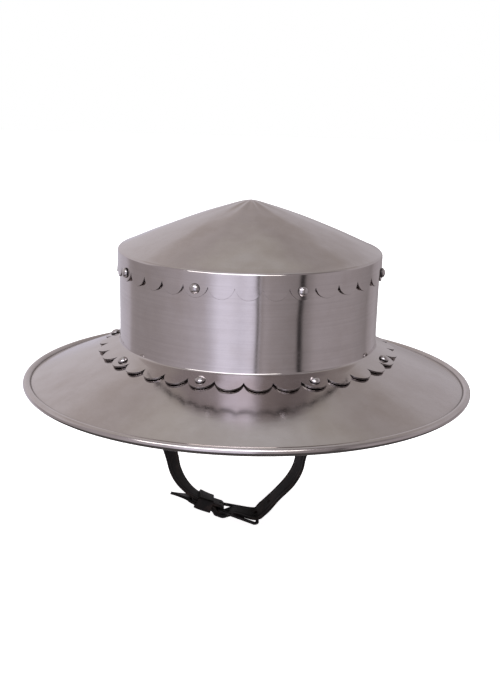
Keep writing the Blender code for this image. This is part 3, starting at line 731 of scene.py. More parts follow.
@dataclass
class ConeCap:
    """The shallow cone with its skirt, lapped over the drum's top."""

    sheet: Sheet
    drum: Drum
    height: float = 0.0450
    bulge: float = 0.0026
    crease_round: float = 0.0026
    apex_blunt: float = 0.0008
    skirt_to_cusp: float = 0.0119
    scallop_depth: float = 0.0097
    rivet_drop: float = 0.0142
    cone_rings: int = 26
    dent_depth: float = 0.00052
    dent_waves: float = 34.0
    true_rim: tuple[float, float] = (0.80, 0.97)
    facet_count: int = 11
    facet_sway: float = 25.0
    facet_reach: float = 0.052
    tip_lift: float = 0.0005
    row: ScallopRow = field(default_factory=lambda: ScallopRow(CAP_FIXINGS))

    @property
    def radius(self) -> float:
        """Return the skirt's outer radius."""
        return self.drum.radius + self.sheet.lap_gap + self.sheet.thickness

    def cone_height(self, radius: float) -> float:
        """Return the height of the cone's outer face, a little bulged and blunt at its tip."""
        share = radius / self.radius
        blunt = self.apex_blunt * math.exp(-((radius / 0.004) ** 2))
        return self.height * (1 - share) + 4 * self.bulge * share * (1 - share) - blunt

    def profile(self) -> list[tuple[float, float]]:
        """Return the outer profile: apex, cone, rounded crease, skirt, and three hem rings."""
        start = self.radius - self.crease_round
        lean = math.degrees(math.atan2(self.height - 4 * self.bulge, self.radius))
        points = [(radius, self.cone_height(radius)) for radius in
                  spaced(0.0, start * 0.99, self.cone_rings)]
        centre = (start, self.cone_height(start) - self.crease_round)
        points += arc(centre, self.crease_round, 90 - lean, 0, 8)
        top = points[-1][1]
        points += [(self.radius, height) for height in spaced(top, -self.skirt_to_cusp, 3)[1:]]
        points += [(self.radius, -self.skirt_to_cusp - share * self.scallop_depth)
                   for share in (1 / 3, 2 / 3, 1.0)]
        return points

    def place(self, radius: float, height: float, azimuth: float, depth: float) -> Vector:
        """Return a cap vertex's place: planished cone, true skirt and scalloped hem."""
        if radius > self.radius - MERGE and height < -self.skirt_to_cusp - MERGE:
            share = (-self.skirt_to_cusp - height) / self.scallop_depth
            unlike = 1.0 + hand_wave(azimuth, 0.0, depth=0.9, seed=8.0, waves=9.0)
            lift = self.tip_lift * share * depth * unlike
            return polar(radius + lift, azimuth, -self.skirt_to_cusp - share * depth * self.scallop_depth)
        hold = 1.0 - smooth_step(*(self.radius * share for share in self.true_rim), radius)
        sway = self.facet_sway * math.sin(math.radians(azimuth * 3))
        facets = math.sin(math.radians(azimuth * self.facet_count + sway))
        near = math.exp(-((radius / self.facet_reach) ** 2))
        dent = self.dent_depth * (noise.noise(polar(radius * self.dent_waves, azimuth, 7.0)) * 1.1
                                  + 0.40 * facets * near * smooth_step(0.002, 0.012, radius))
        return polar(radius, azimuth, height + dent * hold)

    def build(self, finishes: Finishes) -> list[bpy.types.Object]:
        """Build and dress the cap."""
        bm = bmesh.new()
        spin_profile(bm, self.profile(), self.row.columns)
        self.row.shape(bm, self.place)
        face_from_axis(bm)
        cap = finish_piece("cone_cap_sheet", bm, finishes.sheet, Slot.SHEET_STEEL, ["cone_cap"])
        add_wall(cap, self.sheet.thickness, WallSide.INWARD)
        add_round_edges(cap, self.sheet.edge_round, 3)
        return [cap]


@dataclass
class Brim:
    """The broad sloping brim with its rolled edge."""

    sheet: Sheet
    drum: Drum
    hole_clearance: float = 0.0030
    reach: float = 0.0870
    bead_radius: float = 0.0035
    bead_rise: float = 0.0010
    columns: int = 360
    rings: int = 26
    wander: float = 0.00035
    wander_from: tuple[float, float] = (0.140, 0.160)
    seam_depth: float = 0.0006
    groove_depth: float = 0.00032
    groove_width: float = 0.0007
    # Strength of the painted shade and grime in the groove by the bead.
    groove_shade_and_grime: float = 0.5

    def place(self, reach: float, rise: float) -> tuple[float, float]:
        """Return the radius and height of a point by its reach and rise from the sheet's middle."""
        radius, height = self.drum.foot
        slope = self.drum.slope
        drop = self.sheet.thickness * 1.5 + self.sheet.lap_gap
        radius -= drop * math.sin(slope)
        height -= drop * math.cos(slope)
        start = (self.drum.radius + self.hole_clearance - radius
                 - self.sheet.thickness / 2 * math.sin(slope)) / math.cos(slope)
        reach += start
        return (radius + reach * math.cos(slope) + rise * math.sin(slope),
                height - reach * math.sin(slope) + rise * math.cos(slope))

    def section(self) -> list[tuple[float, float]]:
        """Return the closed section as reaches and rises: sheet, bead and the roll's closing seam."""
        half = self.sheet.thickness / 2
        floor = half - self.groove_depth
        start = 180 - math.degrees(math.asin((floor - self.bead_rise) / self.bead_radius))
        end = -180 + math.degrees(math.asin((half + self.bead_rise) / self.bead_radius))
        bead = arc((self.reach, self.bead_rise), self.bead_radius, start, end, self.rings)
        inner = bead[0][0]
        top = [(reach, half) for reach in spaced(0.0, inner - 2 * self.groove_width, self.rings)]
        top += [(inner - self.groove_width, half), (inner - self.groove_width / 3, floor + 0.0001)]
        bottom = [(reach, -half) for reach in spaced(bead[-1][0] - 0.0010, 0.0, self.rings)]
        seam = [(bead[-1][0] + 0.0002, -half + self.seam_depth * 0.6), (bead[-1][0] - 0.0005, -half)]
        return top + bead + seam + bottom

    def build(self, finishes: Finishes) -> list[bpy.types.Object]:
        """Build and dress the brim."""
        bm = bmesh.new()
        profile = [self.place(reach, rise) for reach, rise in self.section()]
        spin_profile(bm, profile + profile[:1], self.columns)
        shade_and_grime = bm.verts.layers.float.new(SHADE_AND_GRIME)
        groove = self.place(self.reach - math.sqrt(self.bead_radius ** 2 - self.bead_rise ** 2), 0.0)[0]
        for vertex in bm.verts:
            radius, azimuth = vertex.co.xy.length, azimuth_of(vertex.co)
            # Mark the groove by the bead for painted shade and grime.
            vertex[shade_and_grime] = self.groove_shade_and_grime * math.exp(-((radius - groove) / self.groove_width) ** 2)
            hold = smooth_step(*self.wander_from, radius)
            vertex.co.z += hand_wave(azimuth, radius * 2.0, self.wander, seed=11.0) * hold
        bmesh.ops.recalc_face_normals(bm, faces=bm.faces)
        brim = finish_piece("brim_sheet", bm, finishes.sheet, Slot.SHEET_STEEL, ["brim"])
        add_round_edges(brim, self.sheet.thickness / 5, 2, 60.0)
        return [brim]


@dataclass
class Rivets:
    """Domed rivets, each a piece of its own."""

    head_radius: float = 0.0044
    head_height: float = 0.0032
    shank_radius: float = 0.0016
    tail_radius: float = 0.0027
    tail_height: float = 0.0011
    seat_gap: float = 0.0003
    # Height band of the painted shade and grime round the foot.
    shade_and_grime_from: float = 0.0003
    shade_and_grime_height: float = 0.0014
    dent_depth: float = 0.00007
    dent_waves: float = 420.0
    sides: int = 32

    def profile(self, grip: float) -> list[tuple[float, float]]:
        """Return the profile from the head's crown down to the peened tail."""
        foot = -grip - self.seat_gap
        dome = [(self.head_radius * math.sin(angle), self.seat_gap + self.head_height * math.cos(angle))
                for angle in spaced(0.0, math.radians(86), 9)]
        rim = [(self.head_radius, self.seat_gap + 0.0001), (self.head_radius * 0.94, self.seat_gap)]
        shank = [(self.shank_radius, self.seat_gap), (self.shank_radius, foot)]
        tail = [(self.tail_radius * 0.95, foot), (self.tail_radius, foot - 0.0002)]
        tail += [(self.tail_radius * math.cos(angle), foot - 0.0002
                  - (self.tail_height - 0.0002) * math.sin(angle))
                 for angle in spaced(math.radians(25), math.pi / 2, 4)]
        return dome + rim + shank + tail

    def build(self, names: Sequence[str], seats: Sequence[Matrix], grip: float,
              finishes: Finishes) -> list[bpy.types.Object]:
        """Build one rivet on each seat, dented a little differently from one to the next.

        Args:
            names: The CAD nodes that the rivets stand for.
            seats: Placements with the head along +Z.
            grip: The thickness that the shank passes through.
            finishes: The hat's finishes.

        Returns:
            The rivets.
        """
        rivets = []
        for index, (name, seat) in enumerate(zip(names, seats)):
            bm = bmesh.new()
            spin_profile(bm, self.profile(grip), self.sides)
            shade_and_grime = bm.verts.layers.float.new(SHADE_AND_GRIME)
            for vertex in bm.verts:
                rise = vertex.co.z - self.seat_gap
                # Mark the foot of the head for painted shade and grime.
                vertex[shade_and_grime] = 1.0 - smooth_step(self.shade_and_grime_from, self.shade_and_grime_height, rise)
                if rise > 0:
                    spot = vertex.co * self.dent_waves + Vector((index * 3.1, 0.0, 0.0))
                    vertex.co += vertex.co.normalized() * noise.noise(spot) * self.dent_depth
            bmesh.ops.recalc_face_normals(bm, faces=bm.faces)
            bmesh.ops.transform(bm, matrix=seat, verts=bm.verts)
            rivet = finish_piece(name + "_dome", bm, [finishes.rivet], Slot.RIVET_STEEL, [name])
            rivets.append(rivet)
        return rivets


def numbered(stem: str, count: int) -> list[str]:
    """Return names made of a stem and a number counted from one."""
    return [f"{stem}_{index + 1}" for index in range(count)]


def seat_matrix(seat: Vector, axis: Vector) -> Matrix:
    """Return a placement with its origin at a seat and +Z along an axis."""
    return Matrix.Translation(seat) @ axis.to_track_quat("Z", "Y").to_matrix().to_4x4()


# Chin strap
class Station(NamedTuple):
    """A point of the strap's route, as shares of its half span and its drop, and its twist."""

    across: float
    drop: float
    twist: float


STRAP_ROUTE = (
    Station(-1.00, -0.06, 10.0),
    Station(-0.995, 0.06, 10.0),
    Station(-0.94, 0.20, 12.0),
    Station(-0.80, 0.43, 17.0),
    Station(-0.645, 0.655, 30.0),
    Station(-0.595, 0.755, 25.0),
    Station(-0.520, 0.825, 13.0),
    Station(-0.400, 0.880, 1.0),
    Station(-0.200, 0.920, -4.0),
    Station(0.080, 0.966, 12.0),
    Station(0.170, 0.938, 22.0),
    Station(0.290, 0.865, 15.0),
    Station(0.400, 0.795, 20.0),
    Station(0.465, 0.725, 22.0),
    Station(0.500, 0.640, 22.0),
    Station(0.640, 0.430, 18.0),
    Station(0.880, 0.200, 12.0),
    Station(0.995, 0.06, 10.0),
    Station(1.00, -0.06, 10.0),
)


def smooth_between(values: Sequence[float], share: float) -> float:
    """Return a Catmull-Rom value between the middle two of four values."""
    before, start, end, after = values
    lift = 2 * share ** 3 - 3 * share ** 2 + 1
    rise = (share ** 3 - 2 * share ** 2 + share) * (end - before) / 2
    fall = (share ** 3 - share ** 2) * (after - start) / 2
    return lift * start + rise + (1 - lift) * end + fall


@dataclass
class StrapRoute:
    """The strap's middle line in its own upright plane, with its twist along the way."""

    half_span: float
    depth: float
    rivet_drop: float
    drop: float
    samples: int = 24
    heading_step: float = 0.002

    def __post_init__(self) -> None:
        """Sample the smooth curve through the stations."""
        self.points: list[Vector] = []
        self.twists: list[float] = []
        last = len(STRAP_ROUTE) - 1
        for index in range(last * self.samples + 1):
            span = min(index // self.samples, last - 1)
            share = index / self.samples - span
            rows = [STRAP_ROUTE[max(0, min(last, span + shift))] for shift in (-1, 0, 1, 2)]
            across, drop, twist = (smooth_between(values, share) for values in zip(*rows))
            self.points.append(Vector((across * self.half_span, -self.rivet_drop - drop * self.drop)))
            self.twists.append(math.radians(twist))
        self.lengths = [0.0]
        for point, following in zip(self.points, self.points[1:]):
            self.lengths.append(self.lengths[-1] + (following - point).length)

    @property
    def length(self) -> float:
        """Return the whole length of the route."""
        return self.lengths[-1]

    def locate(self, distance: float) -> tuple[int, float]:
        """Return the sample before a distance, and the share of the way to the next."""
        low, high = 0, len(self.lengths) - 2
        while low < high:
            middle = (low + high + 1) // 2
            if self.lengths[middle] <= distance:
                low = middle
            else:
                high = middle - 1
        return low, (distance - self.lengths[low]) / (self.lengths[low + 1] - self.lengths[low])

    def distance_at(self, across: float) -> float:
        """Return the distance along the route at a share of the half span, near the middle."""
        middle = [index for index, point in enumerate(self.points)
                  if point.x >= across * self.half_span]
        return self.lengths[middle[0]]

    def middle(self, distance: float) -> Vector:
        """Return the middle line's point in the strap's plane."""
        index, share = self.locate(distance)
        return self.points[index].lerp(self.points[index + 1], share)

    def point(self, distance: float, out: float, side: float, turn: float = 0.0) -> Vector:
        """Return a point by its distance along, its offset outwards and its offset sideways."""
        middle = self.middle(distance)
        ahead, behind = self.middle(distance + self.heading_step), self.middle(distance - self.heading_step)
        heading = (ahead - behind).normalized()
        index, share = self.locate(distance)
        twist = self.twists[index] + share * (self.twists[index + 1] - self.twists[index]) + turn
        outward = Vector((heading.y, 0.0, -heading.x))
        back = Vector((0.0, 1.0, 0.0))
        centre = Vector((middle.x, self.depth, middle.y))
        away = outward * math.cos(twist) + back * math.sin(twist)
        return centre + away * out + (back * math.cos(twist) - outward * math.sin(twist)) * side


class Bend(NamedTuple):
    """A place on a strap part: distance along the route, offset outwards, width share and turn."""

    along: float
    out: float
    width: float = 1.0
    turn: float = 0.0


@dataclass
class ChinStrap:
    """The two strap parts, the keeper, and the buckle with its tongue."""

    drum: Drum
    azimuth: float = 100.0
    rivet_drop: float = 0.0660
    drop: float = 0.2040
    width: float = 0.0180
    wall_gap: float = 0.0006
    thickness: float = 0.0025
    seat_gap: float = 0.0003
    buckle_across: float = -0.205
    fold_length: float = 0.0275
    tail_reach: float = 0.0430
    tip_share: float = 0.32
    tail_droop: float = 0.0091
    tail_curve: float = 1.3
    tail_turn: float = math.radians(-42)
    tail_turn_curve: float = 0.7
    edge_groove: float = 0.00028
    groove_place: float = 0.74
    groove_width: float = 0.07
    strap_round: float = 0.0006
    rows_across: int = 20
    rows_along: int = 90
    hole_radius: float = 0.0018
    hole_pitch: float = 0.0180
    holes: tuple[int, ...] = (-2, -1, 1, 2)
    buckle_length: float = 0.0360
    wire_radius: float = 0.0016
    side_clearance: float = 0.0006
    corner: float = 0.0020
    tongue_radius: float = 0.0011
    tongue_overhang: float = 0.0020
    slot_clearance: float = 0.0004
    keeper_length: float = 0.0150
    keeper_thickness: float = 0.0018
    keeper_clearance: float = 0.0006
    keeper_setback: float = 0.0154
    keeper_corner: float = 0.0015
    keeper_round: float = 0.0005
    keeper_layout_step: float = 0.0018

    def __post_init__(self) -> None:
        """Work out the route and the layers' offsets."""
        bore = self.drum.radius - self.drum.sheet.thickness
        self.back = math.sqrt(bore ** 2 - (self.width / 2) ** 2) - self.wall_gap
        anchor = polar(self.back - self.thickness / 2, self.azimuth, 0.0)
        self.route = StrapRoute(anchor.x, anchor.y, self.rivet_drop, self.drop)
        self.bar = self.route.distance_at(self.buckle_across)
        self.layer = self.thickness + self.seat_gap
        self.bar_depth = self.thickness / 2 + self.seat_gap + self.wire_radius

    def strip(self, name: str, bends: Sequence[Bend], nodes: Sequence[str],
              finishes: Finishes) -> bpy.types.Object:
        """Lay a strip along the bends with rounded edges and its own layout in metres.

        Args:
            name: The piece's name.
            bends: Places along the strip.
            nodes: The CAD nodes that it replaces.
            finishes: The hat's finishes.

        Returns:
            The strip, with its wall.
        """
        across = self.rows_across
        bm = bmesh.new()
        made = bmesh.ops.create_grid(bm, x_segments=len(bends) - 1, y_segments=across, size=1.0)["verts"]
        layout = bm.loops.layers.uv.new(BlackLeather.layout_name)
        spots: dict[bmesh.types.BMVert, tuple[float, float]] = {}
        for row in range(across + 1):
            share = 2 * row / across - 1
            travelled = 0.0
            for index, bend in enumerate(bends):
                vertex = made[row * len(bends) + index]
                side = share * bend.width * self.width / 2
                off_groove = (abs(share) - self.groove_place) / self.groove_width
                pressed = self.edge_groove * math.exp(-off_groove ** 2)
                vertex.co = self.route.point(bend.along, bend.out + pressed, side, bend.turn)
                if index:
                    travelled += abs(bend.along - bends[index - 1].along) \
                        + 0.3 * abs(bend.out - bends[index - 1].out)
                spots[vertex] = (travelled, side)
        for face in bm.faces:
            for loop in face.loops:
                loop[layout].uv = spots[loop.vert]
        piece = finish_piece(name, bm, [finishes.leather], Slot.LEATHER, nodes)
        add_wall(piece, self.thickness, WallSide.BOTH)
        add_round_edges(piece, self.strap_round, 3, 60.0)
        return piece

    def refine(self, bends: Sequence[Bend], parts: int) -> list[Bend]:
        """Return the bends with smooth in-between ones."""
        fine = []
        last = len(bends) - 1
        for index in range(last):
            rows = [bends[max(0, min(last, index + shift))] for shift in (-1, 0, 1, 2)]
            for step in range(parts):
                values = [smooth_between(column, step / parts) for column in zip(*rows)]
                fine.append(Bend(*values))
        fine.append(bends[-1])
        return fine

    def buckle_side_bends(self) -> list[Bend]:
        """Return the bends of the part that carries the buckle: down, round the bar and back."""
        bends = [Bend(along, 0.0) for along in spaced(0.0, self.bar, self.rows_along)]
        for angle in spaced(0.0, 180.0, 12)[1:]:
            turn = math.radians(angle)
            bends.append(Bend(self.bar + self.bar_depth * math.sin(turn),
                              self.bar_depth * (1 - math.cos(turn))))
        fold = self.fold_length
        back = [bends[-1], Bend(self.bar - fold * 0.09, 2 * self.bar_depth * 0.90),
                Bend(self.bar - fold * 0.26, self.layer), Bend(self.bar - fold * 0.75, self.layer),
                Bend(self.bar - fold, self.layer)]
        return bends + self.refine(back, 4)[1:]

    def tail_side_bends(self) -> list[Bend]:
        """Return the bends of the part with the free tail: to the buckle, through it and on."""
        over = 2 * self.bar_depth + self.layer
        bar, length, fold, layer = self.bar, self.buckle_length, self.fold_length, self.layer
        start = [Bend(along, 0.0)
                 for along in spaced(self.route.length, bar + length, self.rows_along)]
        bends = [start[-1], Bend(bar + length * 0.68, over * 0.02), Bend(bar + length * 0.44, over * 0.14),
                 Bend(bar + length * 0.27, over * 0.62), Bend(bar + length * 0.15, over * 0.97),
                 Bend(bar, over), Bend(bar - fold * 0.10, over * 0.96), Bend(bar - fold * 0.28, 2 * layer),
                 Bend(bar - fold * 0.75, 2 * layer), Bend(bar - fold, 2 * layer)]
        tip = 1 - self.tip_share
        for share, width in ((tip / 3, 1.0), (tip * 2 / 3, 1.0), (tip, 1.0), ((tip + 1) / 2, 0.78),
                             (1.0, 0.30)):
            along = fold + (self.tail_reach - fold) * share
            droop = 2 * layer + self.tail_droop * share ** self.tail_curve
            turn = self.tail_turn * share ** self.tail_turn_curve
            bends.append(Bend(bar - along, droop, width, turn))
        return start[:-1] + self.refine(bends, 4)

    def tongue_points(self) -> list[Vector]:
        """Return the tongue's middle line: round the bar, then to the frame's far end."""
        turn_radius = self.wire_radius + self.seat_gap + self.tongue_radius
        points = []
        for angle in spaced(60, 300, 16):
            turn = math.radians(angle)
            points.append(self.route.point(self.bar + turn_radius * math.cos(turn),
                                           self.bar_depth - turn_radius * math.sin(turn), 0.0))
        rest = self.bar_depth + self.wire_radius + self.seat_gap + self.tongue_radius
        low = self.bar_depth + turn_radius * 0.35
        for share in (0.19, 0.34, 0.5, 0.75, 1.0):
            lift = low + (rest - low) * max(0.0, share - 0.34) / 0.66
            points.append(self.route.point(self.bar + self.buckle_length * share, lift, 0.0))
        points.append(self.route.point(self.bar + self.buckle_length + self.tongue_overhang, rest, 0.0))
        return points

    def frame_points(self) -> list[Vector]:
        """Return the buckle frame's middle line, a rectangle with rounded corners."""
        half = self.width / 2 + self.side_clearance + self.wire_radius
        far = self.buckle_length - self.corner
        points = []
        for along, side, start, end in (
                (self.corner, half - self.corner, 180, 90), (far, half - self.corner, 90, 0),
                (far, self.corner - half, 0, -90), (self.corner, self.corner - half, -90, -180)):
            for place, reach in arc((along, side), self.corner, start, end, 6):
                points.append(self.route.point(self.bar + place, self.bar_depth, reach))
        return points

    def wire(self, name: str, points: Sequence[Vector], radius: float, closed: bool, node: str,
             finishes: Finishes) -> bpy.types.Object:
        """Sweep a round section along points and close its ends, or join it to itself."""
        bm = bmesh.new()
        rings = []
        count = len(points)
        for index, point in enumerate(points):
            before = points[(index - 1) % count] if closed or index else point
            after = points[(index + 1) % count] if closed or index < count - 1 else point
            made = bmesh.ops.create_circle(bm, segments=16, radius=radius,
                                           matrix=ring_matrix(point, after - before))
            rings.append(list({edge for vertex in made["verts"] for edge in vertex.link_edges}))
        pairs = list(zip(rings, rings[1:])) + ([(rings[-1], rings[0])] if closed else [])
        for near, far in pairs:
            bmesh.ops.bridge_loops(bm, edges=near + far)
        if not closed:
            for ring in (rings[0], rings[-1]):
                cap = bmesh.ops.contextual_create(bm, geom=ring)["faces"]
                bmesh.ops.inset_region(bm, faces=cap, thickness=radius * 0.3, depth=radius * 0.25)
        bmesh.ops.recalc_face_normals(bm, faces=bm.faces)
        return finish_piece(name, bm, [finishes.metal], Slot.BLACK_METAL, [node])

    def keeper(self, finishes: Finishes) -> bpy.types.Object:
        """Build the leather loop round the strap and its tail."""
        middle = self.bar - self.keeper_setback
        gap = self.keeper_clearance + self.keeper_thickness / 2
        inner = -self.thickness / 2 - gap
        outer = 2 * self.layer + self.thickness / 2 + gap
        side = self.width / 2 + gap
        corner = self.keeper_corner
        loop: list[tuple[float, float]] = []
        for centre, start in (
                ((inner + corner, corner - side), 270), ((inner + corner, side - corner), 180),
                ((outer - corner, side - corner), 90), ((outer - corner, corner - side), 0)):
            loop += arc(centre, corner, start, start - 90, 5)
        bm = bmesh.new()
        layout = bm.loops.layers.uv.new(BlackLeather.layout_name)
        rings, spots = [], {}
        half = self.keeper_length / 2
        for along in spaced(middle - half, middle + half, 8):
            made = bmesh.ops.create_circle(bm, segments=len(loop), radius=1.0)["verts"]
            for index, (vertex, (out, edge)) in enumerate(zip(made, loop)):
                vertex.co = self.route.point(along, out, edge)
                spots[vertex] = (index * self.keeper_layout_step, along - middle)
            rings.append(list({edge for vertex in made for edge in vertex.link_edges}))
        for near, far in zip(rings, rings[1:]):
            bmesh.ops.bridge_loops(bm, edges=near + far)
        bmesh.ops.recalc_face_normals(bm, faces=bm.faces)
        for face in bm.faces:
            for corner_loop in face.loops:
                corner_loop[layout].uv = spots[corner_loop.vert]
        keeper = finish_piece("strap_keeper_loop", bm, [finishes.leather], Slot.LEATHER,
                              ["strap_keeper"])
        add_wall(keeper, self.keeper_thickness, WallSide.BOTH)
        add_round_edges(keeper, self.keeper_round, 3, 60.0)
        return keeper

    def punch(self, part: bpy.types.Object) -> None:
        """Punch the adjusting holes and the tongue's hole through the tail part."""
        cutter = bmesh.new()
        bends = sorted(self.tail_side_bends(), key=lambda bend: bend.along)
        for count in self.holes:
            along = self.bar + self.buckle_length * 0.5 + self.hole_pitch * count
            out = next(bend.out for bend in bends if bend.along >= along)
            centre = self.route.point(along, out, 0.0)
            axis = self.route.point(along, out + 1.0, 0.0) - centre
            bmesh.ops.create_cone(cutter, cap_ends=True, segments=20, radius1=self.hole_radius,
                                  radius2=self.hole_radius, depth=3 * self.thickness,
                                  matrix=seat_matrix(centre, axis))
        path = self.tongue_points()[-6:]
        start, end = path[1], path[4]
        bmesh.ops.create_cone(cutter, cap_ends=True, segments=20,
                              radius1=self.tongue_radius + self.slot_clearance,
                              radius2=self.tongue_radius + self.slot_clearance,
                              depth=(end - start).length,
                              matrix=seat_matrix((start + end) / 2, end - start))
        cut_holes(part, cutter)

    def slot(self, part: bpy.types.Object) -> None:
        """Cut the tongue's slot through the fold round the bar."""
        cutter = bmesh.new()
        centre = self.route.point(self.bar, self.bar_depth, 0.0)
        axis = self.route.point(self.bar, self.bar_depth, 1.0) - centre
        radius = self.bar_depth + self.thickness / 2 + self.seat_gap
        bmesh.ops.create_cone(cutter, cap_ends=True, segments=24, radius1=radius, radius2=radius,
                              depth=2 * (self.tongue_radius + self.slot_clearance),
                              matrix=seat_matrix(centre, axis))
        cut_holes(part, cutter)

    def build(self, finishes: Finishes) -> list[bpy.types.Object]:
        """Build and dress the whole strap."""
        left = self.strip("chin_strap_buckle_leather", self.buckle_side_bends(),
                          ["chin_strap_buckle_part"], finishes)
        self.slot(left)
        right = self.strip("chin_strap_tail_leather", self.tail_side_bends(),
                           ["chin_strap_tail_part"], finishes)
        self.punch(right)
        frame = self.wire("buckle_frame_wire", self.frame_points(), self.wire_radius, True,
                          "buckle_frame", finishes)
        tongue = self.wire("buckle_tongue_wire", self.tongue_points(), self.tongue_radius, False,
                           "buckle_tongue", finishes)
        return [left, right, frame, tongue, self.keeper(finishes)]


def ring_matrix(point: Vector, heading: Vector) -> Matrix:
    """Return the placement of a wire's section across its heading, kept from spinning."""
    forward = heading.normalized()
    side = forward.cross(Vector((0.15, 0.98, 0.12))).normalized()
    up = side.cross(forward)
    turn = Matrix((side, up, forward)).transposed().to_4x4()
    return Matrix.Translation(point) @ turn


# Studio
class Band(NamedTuple):
    """A stop of the studio's surroundings: degrees round from the front, and brightness."""

    azimuth: float
    brightness: float


@dataclass(frozen=True)
class Surroundings:
    """What the steel mirrors: soft panels and dark gaps round the hat, and the room behind it."""

    bands: tuple[Band, ...] = (
        Band(-180, 0.62), Band(-138, 0.60), Band(-131, 0.57), Band(-125, 0.41), Band(-118, 0.37),
        Band(-88, 0.385), Band(-62, 0.475), Band(-38, 0.60), Band(-34, 0.68), Band(-26, 0.96),
        Band(-18, 0.98), Band(-8, 0.87), Band(1, 0.94), Band(5.0, 0.74), Band(6.2, 0.14),
        Band(7.8, 0.14), Band(8.6, 0.62), Band(10.0, 0.36), Band(13, 0.46), Band(19, 0.39),
        Band(41.5, 0.29), Band(43.8, 0.05), Band(46.0, 0.05), Band(48.5, 0.28), Band(58, 0.42),
        Band(64, 0.435), Band(100, 0.40), Band(127, 0.31), Band(133, 0.40), Band(146, 0.45),
        Band(158, 0.36), Band(180, 0.40),
    )
    high_bands: tuple[Band, ...] = (
        Band(-180, 0.42), Band(-75, 0.42), Band(-42, 0.52), Band(-30, 1.05), Band(-8, 1.20),
        Band(6, 1.15), Band(12, 0.72), Band(22, 0.38), Band(60, 0.26), Band(120, 0.34), Band(180, 0.40),
    )
    high_from: float = 0.15
    high_full: float = 0.45
    warm: tuple[float, float, float] = (1.0, 0.905, 0.935)
    cool: tuple[float, float, float] = (1.0, 0.980, 1.150)
    cool_from: float = 0.30
    cool_full: float = 0.85
    room: tuple[tuple[float, tuple[float, float, float]], ...] = (
        (0.0, (0.56, 0.525, 0.550)), (0.20, (0.58, 0.546, 0.573)), (0.54, (0.55, 0.517, 0.530)),
        (0.61, (0.47, 0.430, 0.425)), (0.74, (0.433, 0.397, 0.394)), (0.84, (0.494, 0.468, 0.445)),
        (0.91, (0.570, 0.560, 0.570)),
    )
    room_tilt: float = 0.12
    below: tuple[float, float, float] = (0.085, 0.080, 0.080)
    below_from: float = -0.44
    below_full: float = -0.58

    def panel_stops(self, bands: Sequence[Band]) -> list[tuple[float, tuple[float, ...]]]:
        """Return bands as colour stops, warm where they are dim and cool where they are bright."""
        marks = []
        for band in bands:
            share = smooth_step(self.cool_from, self.cool_full, band.brightness)
            colour = tuple(band.brightness * (warm + share * (cool - warm))
                           for warm, cool in zip(self.warm, self.cool))
            marks.append(((band.azimuth + 180) / 360, colour))
        return marks

    def make(self) -> None:
        """Set the scene's world."""
        world = bpy.data.worlds.new("studio_surroundings")
        world.use_nodes = True
        bpy.context.scene.world = world
        tree = NodeTree(world.node_tree, "Generated")
        across, along, height = tree.part("X"), tree.part("Y"), tree.part("Z")
        turn = tree.maths("ARCTAN2", across, tree.maths("MULTIPLY", along, -1.0))
        share = tree.ramp(turn, -math.pi, math.pi)
        high = tree.ramp(height, self.high_from, self.high_full, smooth=True)
        panels = tree.blend(high, tree.stops(share, self.panel_stops(self.bands)),
                            tree.stops(share, self.panel_stops(self.high_bands)))
        tilt = tree.ramp(across, -0.35, 0.35, 1 + self.room_tilt, 1 - self.room_tilt)
        room = tree.scaled(tree.stops(height, self.room), tilt)
        behind = tree.maths("MULTIPLY", tree.ramp(along, -0.05, 0.15), tree.ramp(height, -0.08, 0.10))
        overhead = tree.ramp(height, 0.93, 0.985)
        colour = tree.blend(tree.maths("MAXIMUM", behind, overhead), panels, room)
        low = tree.ramp(height, self.below_from, self.below_full, smooth=True)
        background = tree.nodes["Background"]
        tree.link(tree.blend(low, colour, self.below), background.inputs["Color"])
        self.white_backdrop(world, background)

    def white_backdrop(self, world: bpy.types.World, background: bpy.types.Node) -> None:
        """Show the camera a plain white backdrop in place of the panels."""
        nodes, links = world.node_tree.nodes, world.node_tree.links
        plain = nodes.new("ShaderNodeBackground")
        plain.inputs["Color"].default_value = (1.0, 1.0, 1.0, 1.0)
        path = nodes.new("ShaderNodeLightPath")
        choose = nodes.new("ShaderNodeMixShader")
        links.new(path.outputs["Is Camera Ray"], choose.inputs["Fac"])
        links.new(background.outputs[0], choose.inputs[1])
        links.new(plain.outputs[0], choose.inputs[2])
        links.new(choose.outputs[0], nodes["World Output"].inputs["Surface"])


class Lamp(NamedTuple):
    """A soft light: its place, its width and height, its power, and whether the steel mirrors it."""

    name: str
    place: tuple[float, float, float]
    size: tuple[float, float]
    power: float
    mirrored: bool


